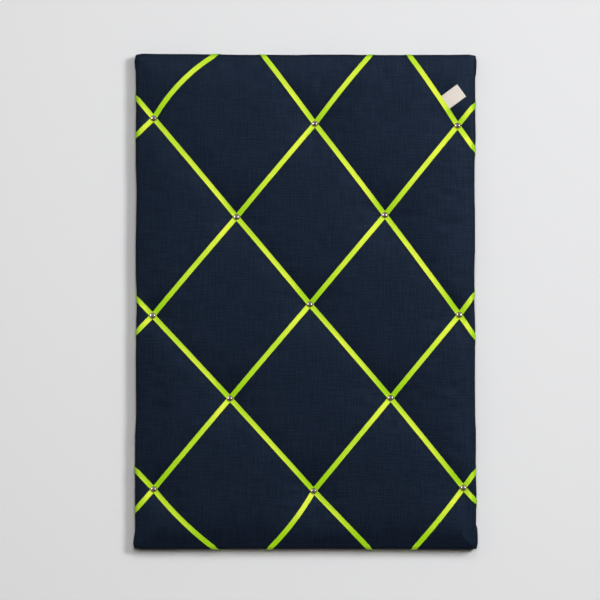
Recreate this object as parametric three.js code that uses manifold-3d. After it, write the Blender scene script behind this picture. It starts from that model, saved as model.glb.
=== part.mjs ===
// French memo board: a fibreboard core padded with wadding, covered in linen and criss-crossed
// with satin ribbon that domed nails hold down wherever two ribbons cross.
// Millimetres. x runs to the right, z up, and the face looks towards -y. The origin is the middle
// of the board on the wall plane, which the two bumpers touch.
import * as THREE from "three";
import { mergeVertices } from "three/addons/utils/BufferGeometryUtils.js";
import Module from "manifold-3d";

const wasm = await Module();
wasm.setup();

// Core board and the padding over it; pad depths run from the core to the linen's outer face
const coreWidth = 403;
const coreHeight = 592;
const coreThickness = 9;
const fabricThickness = 0.8;
const waddingOverEdge = 3.5;
const padAtStud = 1.9;
const padAtRibbon = 9.2;
const padAtCrown = 11.2;
const padAtEdge = 6;
const padFullness = 0.9;
const edgeRadius = 6;
const edgeFade = 32;
const sideDraw = 0.5;
const cornerPull = 1.3;
const flangeWidth = 25;

// Nail pattern: rows and columns of an even diamond pattern, and how far by hand each nail landed
// from its even place, [right, up], row by row from the top
const studColumns = 5;
const studRows = 5;
const studSideMargin = 15.8;
const studEndMargin = 74;
const handLaid = [
  [[2.1, -0.2], [11.8, -6.8], [-0.8, -9.1]],
  [[9.7, -9.2], [3.7, -6.9]],
  [[1.3, -17.9], [5.7, -4.3], [0.8, -17.0]],
  [[2.0, -7.1], [10.3, -6.6]],
  [[3.0, -5.6], [10.3, -7.7], [5.1, -4.0]],
];

// Domed nails
const studDiameter = 7.6;
const studHeight = 3;
const studShell = 0.6;
const shankDiameter = 1.4;
const shankLength = 11;
const shankPoint = 2.5;

// Ribbon, and how it was laid from its outermost nails to the edges: a lean is the travel along the
// edge for each millimetre towards it, a bow the sideways slack to the left of that travel
const ribbonWidth = 6;
const ribbonThickness = 0.4;
const ribbonPastFlange = 12;
const ribbonStraighten = 12;
const evenEnd = { lean: 1, bow: 0 };
const risingEnds = [
  { start: { lean: 0.98, bow: 0 }, end: { lean: 0.93, bow: 5.4 } },
  { start: { lean: 1.02, bow: 0 }, end: { lean: 0.8, bow: 0.8 } },
  { start: { lean: 1.14, bow: 0 }, end: { lean: 1.23, bow: 0 } },
  { start: { lean: 0.75, bow: 2.6 }, end: { lean: 1.34, bow: 0 } },
  { start: { lean: 0.81, bow: 1 }, end: { lean: 1.37, bow: 0 } },
];
const fallingEnds = [
  { start: { lean: 1.05, bow: 0 }, end: { lean: 1.01, bow: -2.8 } },
  { start: { lean: 1.03, bow: 0 }, end: { lean: 0.96, bow: 0 } },
  { start: { lean: 1.17, bow: 0 }, end: { lean: 1.13, bow: 0 } },
  { start: { lean: 0.75, bow: 0 }, end: { lean: 1.44, bow: 0 } },
  { start: { lean: 0.68, bow: -0.5, overLabel: true }, end: { lean: 1.43, bow: 0 } },
];

// Tab label under the top right ribbon, placed along that ribbon from its nail. The ribbon starts to
// rise before the label and lies level from just beside it.
const labelWidth = 18.3;
const labelReach = 25.5;
const labelTuck = 2;
const labelThickness = 0.6;
const labelFromStud = 31;
const ribbonRiseFrom = 5;
const ribbonRiseTo = 1;

// Staples over the ribbon tails
const stapleCrown = 12;
const stapleThickness = 0.6;
const stapleWireWidth = 1.2;
const stapleBite = 6;
const stapleFromTailEnd = 6;

// Back: hardboard sheet on four pins, strap hangers with swinging rings, bumpers
const backingThickness = 1.5;
const backingInset = 8.5;
const backingCorner = 4;
const pinInset = 22;
const pinHeadDiameter = 4;
const pinHeadThickness = 0.8;
const pinShankDiameter = 1.4;
const pinLength = 9;
const pinPoint = 2;
const hangerFromTop = 140;
const hangerFromSide = 95;
const strapWidth = 11;
const strapThickness = 0.8;
const strapLength = 24;
const strapCurlTurn = 285;
const strapHoleInset = 6;
const ringWire = 2.2;
const ringSideClearance = 0.6;
const ringCorner = 2.4;
const ringLeg = 3.4;
const screwHeadDiameter = 6.4;
const screwHeadHeight = 1.7;
const screwShankDiameter = 2.8;
const screwLength = 10;
const screwPoint = 3;
const screwRim = 0.5;
const screwSlotWidth = 0.9;
const screwSlotLength = 3.8;
const screwSlotDepth = 0.8;
const bumperDiameter = 14;
const bumperHeight = 4.5;
const bumperChamfer = 0.6;
const bumperInset = 40;

// Clearances: between curved or cut neighbours, and all round a shank, leg or screw in its hole
const fitGap = 0.3;
const holeGap = 0.3;

// Mesh steps: where the pad is sampled between two nails and in a margin wider than half a cell,
// where a ribbon is sampled on its way to the edge, and how round things are divided
const fineSteps = [0, 0.15, 0.5, 0.85];
const coarseSteps = [0, 0.5];
const marginStep = 0.5;
const endRunSteps = [0.3, 0.6, 0.85];
const betweenSteps = [0.12, 0.25, 0.38, 0.5, 0.62, 0.75, 0.88];
const sectionSteps = [-1, -0.5, 0, 0.5, 1];
const domeSteps = [0, 0.25, 0.5, 0.75, 1];
const hollowSteps = [1, 0.5];
const roundingAngles = [45, 90];
const studSegments = 12;
const holeSegments = 6;
const roundSegments = 24;
const curlSegments = 10;
const ringArcSegments = 4;
const wireSegments = 8;
const cornerSegments = 4;
const routeStep = 0.01;
const mergeDistance = 1e-4;
const insideTolerance = 1e-6;
const cutMargin = 2;

// Depths of the layers, counted from the wall plane at y = 0
const backingBack = -bumperHeight;
const backingFront = backingBack - backingThickness;
const tailFace = backingFront - stapleThickness;
const flangeFace = tailFace - ribbonThickness;
const coreBack = flangeFace - fabricThickness;
const coreFront = coreBack - coreThickness;

// Outlines
const coverOverCore = waddingOverEdge + fitGap + fabricThickness;
const outerHalfWidth = coreWidth / 2 + coverOverCore;
const outerHalfHeight = coreHeight / 2 + coverOverCore;
const faceHalfWidth = outerHalfWidth - edgeRadius;
const faceHalfHeight = outerHalfHeight - edgeRadius;
const columnPitch = (coreWidth - 2 * studSideMargin) / (studColumns - 1);
const rowPitch = (coreHeight - 2 * studEndMargin) / (studRows - 1);

const lastColumn = studColumns - 1;
const lastRow = studRows - 1;
const marginColumns = faceHalfWidth / columnPitch - lastColumn / 2;
const marginRows = faceHalfHeight / rowPitch - lastRow / 2;

const finishes = {
  linen: { color: 0x182434, roughness: 0.95, metalness: 0 },
  ribbon: { color: 0xb8dc2e, roughness: 0.45, metalness: 0 },
  nickel: { color: 0xb9b4ac, roughness: 0.22, metalness: 1 },
  wadding: { color: 0xe9e6df, roughness: 1, metalness: 0 },
  fibreboard: { color: 0xa07a50, roughness: 0.9, metalness: 0 },
  hardboard: { color: 0x6b4a30, roughness: 0.7, metalness: 0 },
  label: { color: 0xe4dad2, roughness: 0.85, metalness: 0 },
  zinc: { color: 0xc4c7ca, roughness: 0.35, metalness: 1 },
  felt: { color: 0x3a3a3c, roughness: 1, metalness: 0 },
};
const materials = Object.fromEntries(
  Object.entries(finishes).map(([name, look]) => [name, new THREE.MeshStandardMaterial(look)]),
);
const board = new THREE.Group();

function addPiece(name, finish, solid) {
  const mesh = new THREE.Mesh(toGeometry(solid), materials[finish]);
  mesh.name = name;
  board.add(mesh);
}

// Solids: three.js geometry to a closed solid that can be joined or cut, and back

function toSolid(geometry) {
  const bare = geometry.clone();
  bare.deleteAttribute("normal");
  bare.deleteAttribute("uv");
  const merged = mergeVertices(bare, mergeDistance);
  const corners = [];
  for (let k = 0; k < merged.index.count; k += 3) {
    const [a, b, c] = merged.index.array.subarray(k, k + 3);
    if (a !== b && b !== c && c !== a) corners.push(a, b, c);
  }
  return new wasm.Manifold(
    new wasm.Mesh({
      numProp: 3,
      vertProperties: merged.attributes.position.array,
      triVerts: new Uint32Array(corners),
    }),
  );
}

function toGeometry(solid) {
  const mesh = solid.getMesh();
  const geometry = new THREE.BufferGeometry();
  geometry.setAttribute("position", new THREE.BufferAttribute(mesh.vertProperties, 3));
  geometry.setIndex(new THREE.BufferAttribute(mesh.triVerts, 1));
  const flat = geometry.toNonIndexed();
  flat.computeVertexNormals();
  return flat;
}

function facetSolid(points, triangles) {
  const geometry = new THREE.BufferGeometry().setFromPoints(points);
  geometry.setIndex(triangles);
  return toSolid(geometry);
}

function cutAll(solid, cutters) {
  return cutters.reduce((rest, cutter) => rest.subtract(cutter), solid);
}

function boxSolid(low, high) {
  const size = new THREE.Vector3().subVectors(high, low);
  const middle = new THREE.Vector3().addVectors(low, high).multiplyScalar(0.5);
  return toSolid(new THREE.BoxGeometry(size.x, size.y, size.z).translate(...middle));
}

// A body turned about an axis that runs towards the wall; profile holds [radius, y] pairs
function turnedSolid(profile, segments, x, y, z) {
  const points = profile.map(([radius, along]) => new THREE.Vector2(radius, along));
  return toSolid(new THREE.LatheGeometry(points, segments).translate(x, y, z));
}

// A straight hole whose flats all stand clear of a round shank of the given radius
function holeCutter(radius, x, z, yFrom, yTo) {
  const corner = (radius + holeGap) / Math.cos(Math.PI / holeSegments);
  const length = yTo - yFrom;
  const hole = new THREE.CylinderGeometry(corner, corner, length, holeSegments);
  return toSolid(hole.translate(x, (yFrom + yTo) / 2, z));
}

// Nail pattern: lattice columns count from the left and rows from the bottom

function isStud(column, row) {
  return (column + row) % 2 === 0;
}

function handOffset(column, row) {
  return handLaid[lastRow - row]?.[Math.floor(column / 2)] ?? [0, 0];
}

function evenPlace(column, row) {
  return new THREE.Vector2(
    (column - lastColumn / 2) * columnPitch,
    (row - lastRow / 2) * rowPitch,
  );
}

// A nail's place, or the middle of a diamond, which shares the shifts of the nails round it
function latticePlace(column, row) {
  const around = isStud(column, row)
    ? [[column, row]]
    : [[column - 1, row], [column + 1, row], [column, row - 1], [column, row + 1]];
  const shifts = around
    .filter(([c, r]) => c >= 0 && c <= lastColumn && r >= 0 && r <= lastRow)
    .map(([c, r]) => handOffset(c, r));
  const place = evenPlace(column, row);
  for (const [right, up] of shifts) {
    place.x += right / shifts.length;
    place.y += up / shifts.length;
  }
  return place;
}

// A node of the lattice, which the margins extend to the edges of the face
function nodePlace(column, row) {
  const inside = latticePlace(
    THREE.MathUtils.clamp(column, 0, lastColumn),
    THREE.MathUtils.clamp(row, 0, lastRow),
  );
  if (column < 0) inside.x = -faceHalfWidth;
  if (column > lastColumn) inside.x = faceHalfWidth;
  if (row < 0) inside.y = -faceHalfHeight;
  if (row > lastRow) inside.y = faceHalfHeight;
  return inside;
}

// Cell index and share of the way through it, with the margins as cells of their own
function cellOf(along, last, margin) {
  if (along < 0) return [-1, 1 + along / margin];
  if (along >= last) return [last, (along - last) / margin];
  return [Math.floor(along), along - Math.floor(along)];
}

// Face point of a lattice coordinate. Each cell is two flat triangles that meet along the ribbon,
// so a ribbon runs straight from nail to nail wherever the nails sit.
function facePlace(column, row) {
  const [i, across] = cellOf(column, lastColumn, marginColumns);
  const [j, up] = cellOf(row, lastRow, marginRows);
  const lowLeft = nodePlace(i, j);
  const lowRight = nodePlace(i + 1, j);
  const highLeft = nodePlace(i, j + 1);
  const highRight = nodePlace(i + 1, j + 1);
  const mix = (p, q, r, toQ, toR) =>
    p.clone().addScaledVector(q, toQ).addScaledVector(p, -toQ - toR).addScaledVector(r, toR);
  if (isStud(i, j)) {
    return across >= up
      ? mix(lowRight, lowLeft, highRight, 1 - across, up)
      : mix(highLeft, lowLeft, highRight, 1 - up, across);
  }
  return across + up <= 1
    ? mix(lowLeft, lowRight, highLeft, across, up)
    : mix(highRight, highLeft, lowRight, 1 - across, 1 - up);
}

// Pad form: low at the nails, higher along the ribbons, highest in the middle of each diamond,
// and pulled down towards the edges

function swell(share) {
  return Math.abs(Math.sin(Math.PI * share)) ** padFullness;
}

function padDepth(column, row, place) {
  const acrossRising = swell((column - row) / 2);
  const acrossFalling = swell((column + row) / 2);
  const both = acrossRising * acrossFalling;
  const rise = acrossRising + acrossFalling - both;
  const open = padAtStud + (padAtRibbon - padAtStud) * rise + (padAtCrown - padAtRibbon) * both;
  const fromEdge = Math.min(faceHalfWidth - Math.abs(place.x), faceHalfHeight - Math.abs(place.y));
  const freedom = Math.sin((Math.PI / 2) * THREE.MathUtils.clamp(fromEdge / edgeFade, 0, 1));
  return padAtEdge + (open - padAtEdge) * freedom;
}

// Sampling stations along one direction of the lattice, margins included
function stations(steps, last, margin) {
  const beyond = margin > marginStep ? [marginStep, margin] : [margin];
  const list = beyond.map((step) => -step).reverse();
  for (let cell = 0; cell < last; cell += 1) {
    list.push(...steps.map((step) => cell + step));
  }
  list.push(last, ...beyond.map((step) => last + step));
  return list;
}

// The padded face as a grid of points, with depths measured from the core
function faceGrid(steps) {
  const columns = stations(steps, lastColumn, marginColumns);
  const rows = stations(steps, lastRow, marginRows);
  const points = rows.map((row) =>
    columns.map((column) => {
      const place = facePlace(column, row);
      return new THREE.Vector3(place.x, padDepth(column, row, place), place.y);
    }),
  );
  const triangles = [];
  for (let r = 0; r + 1 < rows.length; r += 1) {
    for (let c = 0; c + 1 < columns.length; c += 1) {
      const [i] = cellOf((columns[c] + columns[c + 1]) / 2, lastColumn, marginColumns);
      const [j] = cellOf((rows[r] + rows[r + 1]) / 2, lastRow, marginRows);
      const at = (row, column) => row * columns.length + column;
      const [a, b] = [at(r, c), at(r, c + 1)];
      const [d, e] = [at(r + 1, c), at(r + 1, c + 1)];
      if (isStud(i, j)) triangles.push(a, b, e, a, e, d);
      else triangles.push(a, b, d, b, e, d);
    }
  }
  return { points, triangles, width: columns.length, height: rows.length };
}

// How far a side is drawn in, from nothing at its corners to the full amount half way
function drawnIn(along, half) {
  return sideDraw * (1 - Math.min(1, Math.abs(along / half)) ** 4);
}

// Outward step of the padded edge at a turn of the given angle, for a surface set in by inset
function edgeStep(angle, inset, draw) {
  const turn = THREE.MathUtils.degToRad(angle);
  return (edgeRadius - inset) * Math.sin(turn) - (draw * angle) / 90;
}

function edgeDrop(angle, inset) {
  return (edgeRadius - inset) * (1 - Math.cos(THREE.MathUtils.degToRad(angle)));
}

// The whole padded board as one closed solid: its face, rounded edges, sides and flat back.
// inset shrinks it evenly, for the inside of the linen and for the wadding.
function paddedSolid(steps, inset, backY) {
  const grid = faceGrid(steps);
  const points = grid.points
    .flat()
    .map((p) => new THREE.Vector3(p.x, coreFront - (p.y - inset), p.z));
  const triangles = [...grid.triangles];
  const { width, height } = grid;
  let loop = [];
  for (let c = 0; c < width - 1; c += 1) loop.push(c);
  for (let r = 0; r < height - 1; r += 1) loop.push(r * width + width - 1);
  for (let c = width - 1; c > 0; c -= 1) loop.push((height - 1) * width + c);
  for (let r = height - 1; r > 0; r -= 1) loop.push(r * width);
  const rim = loop.map((k) => points[k]);
  const ringAt = (angle, y) =>
    rim.map((p) => {
      const onSide = Math.abs(p.x) > faceHalfWidth - mergeDistance;
      const onEnd = Math.abs(p.z) > faceHalfHeight - mergeDistance;
      const pull = onSide && onEnd ? (cornerPull * angle) / 90 : 0;
      const right = edgeStep(angle, inset, drawnIn(p.z, outerHalfHeight)) - pull;
      const up = edgeStep(angle, inset, drawnIn(p.x, outerHalfWidth)) - pull;
      return new THREE.Vector3(
        p.x + (onSide ? Math.sign(p.x) * right : 0),
        y,
        p.z + (onEnd ? Math.sign(p.z) * up : 0),
      );
    });
  const edgeFront = coreFront - (padAtEdge - inset);
  const rings = roundingAngles.map((angle) => ringAt(angle, edgeFront + edgeDrop(angle, inset)));
  rings.push(ringAt(90, backY));
  for (const ring of rings) {
    const next = ring.map((p) => points.push(p) - 1);
    next.forEach((to, k) => {
      const l = (k + 1) % next.length;
      triangles.push(loop[k], to, next[l], loop[k], next[l], loop[l]);
    });
    loop = next;
  }
  const middle = points.push(new THREE.Vector3(0, backY, 0)) - 1;
  loop.forEach((k, n) => triangles.push(k, middle, loop[(n + 1) % loop.length]));
  return facetSolid(points, triangles);
}

// Depth of the linen's outer facets over the core, below a point of the face
const linenFace = faceGrid(fineSteps);
const linenPoints = linenFace.points.flat();
function linenDepth(x, z) {
  for (let k = 0; k < linenFace.triangles.length; k += 3) {
    const [a, b, c] = linenFace.triangles.slice(k, k + 3).map((n) => linenPoints[n]);
    const area = (b.x - a.x) * (c.z - a.z) - (c.x - a.x) * (b.z - a.z);
    const toB = ((x - a.x) * (c.z - a.z) - (c.x - a.x) * (z - a.z)) / area;
    const toC = ((b.x - a.x) * (z - a.z) - (x - a.x) * (b.z - a.z)) / area;
    if (Math.min(toB, toC, 1 - toB - toC) >= -insideTolerance) {
      return a.y + toB * (b.y - a.y) + toC * (c.y - a.y);
    }
  }
  return padAtEdge;
}

// Ribbons and label: flat strips laid on the face. A face station is a point, the half width across
// it to the right of travel, and the depth of the strip's underside.

function faceStation(place, travel, width) {
  const along = travel.clone().normalize();
  return {
    place,
    right: new THREE.Vector2(along.y, -along.x).multiplyScalar(width / 2),
    depth: 0,
  };
}

function sectionDepth(place, right, support) {
  const depths = sectionSteps.map((side) =>
    support(place.x + side * right.x, place.y + side * right.y),
  );
  return Math.max(...depths);
}

// Rests a run of stations on what lies below, and lifts a station where the stretch up to the next
// one would still cut in. A station that a nail holds keeps its depth.
function seatStations(run, support) {
  const free = run.filter((station) => !station.held);
  for (const station of free) {
    station.depth = sectionDepth(station.place, station.right, support) + fitGap;
  }
  for (let k = 0; k + 1 < run.length; k += 1) {
    const [from, to] = [run[k], run[k + 1]];
    for (const share of betweenSteps) {
      const place = from.place.clone().lerp(to.place, share);
      const right = from.right.clone().lerp(to.right, share);
      const wanted = sectionDepth(place, right, support) + fitGap;
      const short = wanted - THREE.MathUtils.lerp(from.depth, to.depth, share);
      for (const station of [from, to]) {
        if (short > 0 && !station.held) station.depth += short;
      }
    }
  }
}

function stripStation(station, thickness) {
  return {
    under: new THREE.Vector3(station.place.x, coreFront - station.depth, station.place.y),
    right: new THREE.Vector3(station.right.x, 0, station.right.y),
    lift: new THREE.Vector3(0, -thickness, 0),
  };
}

// A closed strip through sections that each have an underside, a half width and a lift to the top
function stripSolid(sections) {
  const points = sections.flatMap(({ under, right, lift }) => {
    const [left, far] = [under.clone().sub(right), under.clone().add(right)];
    return [left, far, far.clone().add(lift), left.clone().add(lift)];
  });
  const triangles = [0, 1, 2, 0, 2, 3];
  for (let k = 0; k + 1 < sections.length; k += 1) {
    for (let side = 0; side < 4; side += 1) {
      const [a, b] = [4 * k + side, 4 * k + ((side + 1) % 4)];
      triangles.push(a, a + 4, b + 4, a, b + 4, b);
    }
  }
  const end = 4 * (sections.length - 1);
  triangles.push(end, end + 2, end + 1, end, end + 3, end + 2);
  return facetSolid(points, triangles);
}

// The four edges that a ribbon can leave by: the way out, and the right-hand side of that way
const edges = {
  left: { out: [-1, 0], right: [0, 1], face: faceHalfWidth, half: outerHalfHeight },
  right: { out: [1, 0], right: [0, -1], face: faceHalfWidth, half: outerHalfHeight },
  top: { out: [0, 1], right: [1, 0], face: faceHalfHeight, half: outerHalfWidth },
  bottom: { out: [0, -1], right: [-1, 0], face: faceHalfHeight, half: outerHalfWidth },
};
const ribbonTail = flangeWidth + ribbonPastFlange;

// The run from the outermost nail to the edge of the face, as a point for each share of the way
function endRoute(stud, edge, outward, { lean, bow }) {
  const out = new THREE.Vector2(...edge.out);
  const right = new THREE.Vector2(...edge.right);
  const reach = edge.face - stud.dot(out);
  const turn = Math.sign(outward.dot(right));
  const exit = stud.clone().addScaledVector(out, reach).addScaledVector(right, turn * lean * reach);
  const way = exit.clone().sub(stud);
  const toLeft = new THREE.Vector2(-way.y, way.x).normalize();
  const at = (share) =>
    stud.clone().lerp(exit, share).addScaledVector(toLeft, 4 * bow * share * (1 - share));
  const travel = (share) => at(share + routeStep).sub(at(share - routeStep));
  return { at, travel, out, right, length: way.length() };
}

// Over the rounded edge, down the side and in along the back. The ribbon still leans as it leaves
// the face, and straightens as it is pulled round.
function wrapSections(route, edge) {
  const { out, right } = route;
  const leaving = route.travel(1);
  const slope = leaving.dot(right) / leaving.dot(out);
  const along = route.at(1).dot(right);
  const draw = drawnIn(along, edge.half);
  const edgeFront = coreFront - padAtEdge;
  const section = (past, outward, y, lift) => {
    const fading = Math.exp(-past / ribbonStraighten);
    const sideways = along + slope * ribbonStraighten * (1 - fading);
    const half = (Math.hypot(1, slope * fading) * ribbonWidth) / 2;
    const place = right.clone().multiplyScalar(sideways).addScaledVector(out, outward);
    return {
      under: new THREE.Vector3(place.x, y, place.y),
      right: new THREE.Vector3(right.x * half, 0, right.y * half),
      lift: new THREE.Vector3(out.x * lift[0], lift[1], out.y * lift[0]),
    };
  };
  const sections = [];
  const facetTurn = THREE.MathUtils.degToRad(roundingAngles[0]) / 2;
  const clear = fitGap / Math.cos(facetTurn);
  let past = 0;
  let turned = [0, 0];
  for (const angle of roundingAngles) {
    const step = [edgeStep(angle, 0, draw), edgeDrop(angle, 0)];
    past += Math.hypot(step[0] - turned[0], step[1] - turned[1]);
    turned = step;
    const tilt = THREE.MathUtils.degToRad(angle);
    const normal = [Math.sin(tilt), -Math.cos(tilt)];
    sections.push(
      section(
        past,
        edge.face + step[0] + clear * normal[0],
        edgeFront + step[1] + clear * normal[1],
        [ribbonThickness * normal[0], ribbonThickness * normal[1]],
      ),
    );
  }
  const side = edge.face + turned[0] + fitGap;
  const sideFront = edgeFront + turned[1];
  const sideLength = flangeFace - sideFront;
  const halfWay = sideFront + sideLength / 2;
  sections.push(section(past + sideLength / 2, side, halfWay, [ribbonThickness, 0]));
  past += sideLength;
  sections.push(section(past, side, flangeFace, [ribbonThickness, ribbonThickness]));
  for (const inward of [ribbonTail / 3, ribbonTail]) {
    const outward = edge.face + edgeRadius - inward;
    sections.push(section(past + inward, outward, flangeFace, [0, ribbonThickness]));
  }
  return sections;
}

function ribbonEnd(stud, edgeName, outward, laid, steps) {
  const edge = edges[edgeName];
  const route = endRoute(stud, edge, outward, laid);
  const run = steps.map((share) => faceStation(route.at(share), route.travel(share), ribbonWidth));
  const leaving = route.travel(1).normalize();
  const slant = ribbonWidth / 2 / leaving.dot(route.out);
  run.push({ place: route.at(1), right: route.right.clone().multiplyScalar(slant), depth: 0 });
  const wrap = wrapSections(route, edge);
  const tailEnd = wrap.at(-1).under;
  return {
    run,
    wrap,
    away: route.travel(routeStep).normalize(),
    staple: {
      x: tailEnd.x + route.out.x * stapleFromTailEnd,
      z: tailEnd.z + route.out.y * stapleFromTailEnd,
      alongX: route.out.x === 0,
    },
  };
}

// A strip's stations or sections in the other direction, where right and left change places
function turnedRound(list) {
  return list.map((item) => ({ ...item, right: item.right.clone().negate() })).reverse();
}

// Diagonals of the nail pattern, each a list of nails in the direction of travel to the right
function diagonals(rising) {
  const lines = new Map();
  for (let column = 0; column < studColumns; column += 1) {
    for (let row = 0; row < studRows; row += 1) {
      if (!isStud(column, row)) continue;
      const line = rising ? column - row : column + row;
      lines.set(line, [...(lines.get(line) ?? []), [column, row]]);
    }
  }
  return [...lines.keys()].sort((a, b) => a - b).map((line) => lines.get(line));
}

// The tab label lies across the first stretch of the last falling ribbon
const labelHalf = labelWidth / 2;
const labelBeside = [labelHalf + ribbonRiseFrom, labelHalf + ribbonRiseTo];
const labelSteps = [-labelBeside[0], -labelBeside[1], labelBeside[1], labelBeside[0]];
let labelTop = () => -Infinity;

function layLabel(route) {
  const share = labelFromStud / route.length;
  const along = route.travel(share).normalize();
  const across = new THREE.Vector2(along.y, -along.x);
  const middle = route.at(share);
  const reaches = [-labelTuck, labelReach / 3, (2 * labelReach) / 3, labelReach];
  const run = reaches.map((reach) =>
    faceStation(middle.clone().addScaledVector(across, reach), across, labelWidth),
  );
  seatStations(run, linenDepth);
  const deepest = Math.max(...run.slice(0, 2).map((station) => station.depth));
  labelTop = (x, z) => {
    const from = new THREE.Vector2(x, z).sub(middle);
    const inside = Math.abs(from.dot(along)) < labelHalf + fitGap;
    return inside && from.dot(across) > -labelTuck - fitGap ? deepest + labelThickness : -Infinity;
  };
  addPiece("tab_label", "label", stripSolid(run.map((s) => stripStation(s, labelThickness))));
}

const studFlat = studDiameter / 2 + 1;
const ribbonTopAtStud = new Map();
const ribbonSolids = [];
const staplePlaces = [];

// One ribbon from tail to tail: flat under each nail, resting on the linen in between
function layRibbon(name, line, rising, ends) {
  const studs = line.map(([column, row]) => latticePlace(column, row));
  const startEdge = line[0][0] === 0 ? "left" : rising ? "bottom" : "top";
  const endEdge = line.at(-1)[0] === lastColumn ? "right" : rising ? "top" : "bottom";
  const outward = new THREE.Vector2(1, rising ? 1 : -1);
  const inward = outward.clone().negate();
  const stepsFor = (edgeName) => (edgeName === "top" || edgeName === "bottom" ? endRunSteps : []);
  let startSteps = stepsFor(startEdge);
  if (ends.start.overLabel) {
    const route = endRoute(studs[0], edges[startEdge], inward, ends.start);
    layLabel(route);
    const nearLabel = labelSteps.map((step) => (labelFromStud + step) / route.length);
    startSteps = [...nearLabel, ...startSteps.filter((step) => step > nearLabel.at(-1))];
  }
  const start = ribbonEnd(studs[0], startEdge, inward, ends.start, startSteps);
  const end = ribbonEnd(studs.at(-1), endEdge, outward, ends.end, stepsFor(endEdge));
  staplePlaces.push(start.staple, end.staple);
  const support = (x, z) => Math.max(linenDepth(x, z), labelTop(x, z));

  const run = turnedRound(start.run);
  studs.forEach((stud, k) => {
    const before = k === 0 ? start.away.clone().negate() : stud.clone().sub(studs[k - 1]).normalize();
    const after = k === studs.length - 1 ? end.away : studs[k + 1].clone().sub(stud).normalize();
    const flats = [
      faceStation(stud.clone().addScaledVector(before, -studFlat), before, ribbonWidth),
      faceStation(stud.clone().addScaledVector(after, studFlat), after, ribbonWidth),
    ];
    const key = line[k].join();
    const onLinen = flats.map((flat) => sectionDepth(flat.place, flat.right, linenDepth) + fitGap);
    const depth = Math.max(...onLinen, ribbonTopAtStud.get(key) ?? 0);
    ribbonTopAtStud.set(key, depth + ribbonThickness);
    run.push(...flats.map((flat) => ({ ...flat, depth, held: true })));
    if (k === studs.length - 1) return;
    for (const share of fineSteps.filter((step) => step > 0)) {
      run.push(faceStation(stud.clone().lerp(studs[k + 1], share), after, ribbonWidth));
    }
  });
  run.push(...end.run);
  seatStations(run, support);
  const sections = [
    ...turnedRound(start.wrap),
    ...run.map((station) => stripStation(station, ribbonThickness)),
    ...end.wrap,
  ];
  ribbonSolids.push({ name, line, solid: stripSolid(sections) });
}

const evenLay = { start: evenEnd, end: evenEnd };
diagonals(true).forEach((line, k) => {
  layRibbon(`rising_ribbon_${k + 1}`, line, true, risingEnds[k] ?? evenLay);
});
diagonals(false).forEach((line, k) => {
  layRibbon(`falling_ribbon_${k + 1}`, line, false, fallingEnds[k] ?? evenLay);
});

// Domed nails: a hollow cap and its shank, and the holes that the shanks make

// [radius, rise] from the crown of a round cap, where rise is 0, down to its rim at -height
function capProfile(rim, height, steps) {
  const ball = (rim * rim + height * height) / (2 * height);
  const rimTurn = Math.atan2(rim, ball - height);
  return steps.map((share) => {
    const turn = rimTurn * share;
    return [ball * Math.sin(turn), ball * (Math.cos(turn) - 1)];
  });
}

function studProfile() {
  const rim = studDiameter / 2;
  const shank = shankDiameter / 2;
  const depth = studHeight - studShell;
  const outside = capProfile(rim, studHeight, domeSteps);
  const inside = capProfile(rim - studShell, depth, hollowSteps);
  return [
    ...outside.map(([radius, rise]) => [radius, -studHeight - rise]),
    ...inside.map(([radius, rise]) => [radius, -depth - rise]),
    [shank, -depth],
    [shank, shankLength - shankPoint],
    [0, shankLength],
  ];
}

const studPlaces = [];
for (let row = lastRow; row >= 0; row -= 1) {
  for (let column = 0; column < studColumns; column += 1) {
    if (!isStud(column, row)) continue;
    const place = latticePlace(column, row);
    const rimY = coreFront - ribbonTopAtStud.get([column, row].join());
    studPlaces.push({ x: place.x, z: place.y, rimY, key: [column, row].join() });
  }
}
studPlaces.forEach((stud, k) => {
  const name = `stud_${String(k + 1).padStart(2, "0")}`;
  addPiece(name, "nickel", turnedSolid(studProfile(), studSegments, stud.x, stud.rimY, stud.z));
  const tip = stud.rimY + shankLength + holeGap;
  stud.hole = holeCutter(shankDiameter / 2, stud.x, stud.z, stud.rimY - cutMargin, tip);
});
const studHoles = studPlaces.map((stud) => stud.hole);
for (const { name, line, solid } of ribbonSolids) {
  const onLine = studPlaces.filter((stud) => line.some((place) => place.join() === stud.key));
  addPiece(name, "ribbon", cutAll(solid, onLine.map((stud) => stud.hole)));
}

// Staples: one across each ribbon tail

function stapleShape() {
  const half = stapleCrown / 2;
  const inner = half - stapleThickness;
  const [top, under, tip] = [backingFront, tailFace, coreBack - stapleBite];
  const outline = [
    [-half, top], [-half, tip], [-inner, tip], [-inner, under],
    [inner, under], [inner, tip], [half, tip], [half, top],
  ];
  return new THREE.Shape(outline.map(([x, y]) => new THREE.Vector2(x, y)));
}

function stapleSolid({ x, z, alongX }) {
  const wire = { depth: stapleWireWidth, bevelEnabled: false };
  const geometry = new THREE.ExtrudeGeometry(stapleShape(), wire);
  geometry.translate(0, 0, -stapleWireWidth / 2);
  if (!alongX) geometry.rotateY(Math.PI / 2);
  return toSolid(geometry.translate(x, 0, z));
}

function legCutters({ x, z, alongX }) {
  const fromMiddle = (stapleCrown - stapleThickness) / 2;
  const [thin, wide] = [stapleThickness / 2 + holeGap, stapleWireWidth / 2 + holeGap];
  const [halfX, halfZ] = alongX ? [thin, wide] : [wide, thin];
  return [-fromMiddle, fromMiddle].map((shift) => {
    const [legX, legZ] = alongX ? [x + shift, z] : [x, z + shift];
    return boxSolid(
      new THREE.Vector3(legX - halfX, coreBack - stapleBite - holeGap, legZ - halfZ),
      new THREE.Vector3(legX + halfX, coreBack + cutMargin, legZ + halfZ),
    );
  });
}

staplePlaces.forEach((place, k) => {
  addPiece(`staple_${String(k + 1).padStart(2, "0")}`, "zinc", stapleSolid(place));
});

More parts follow.
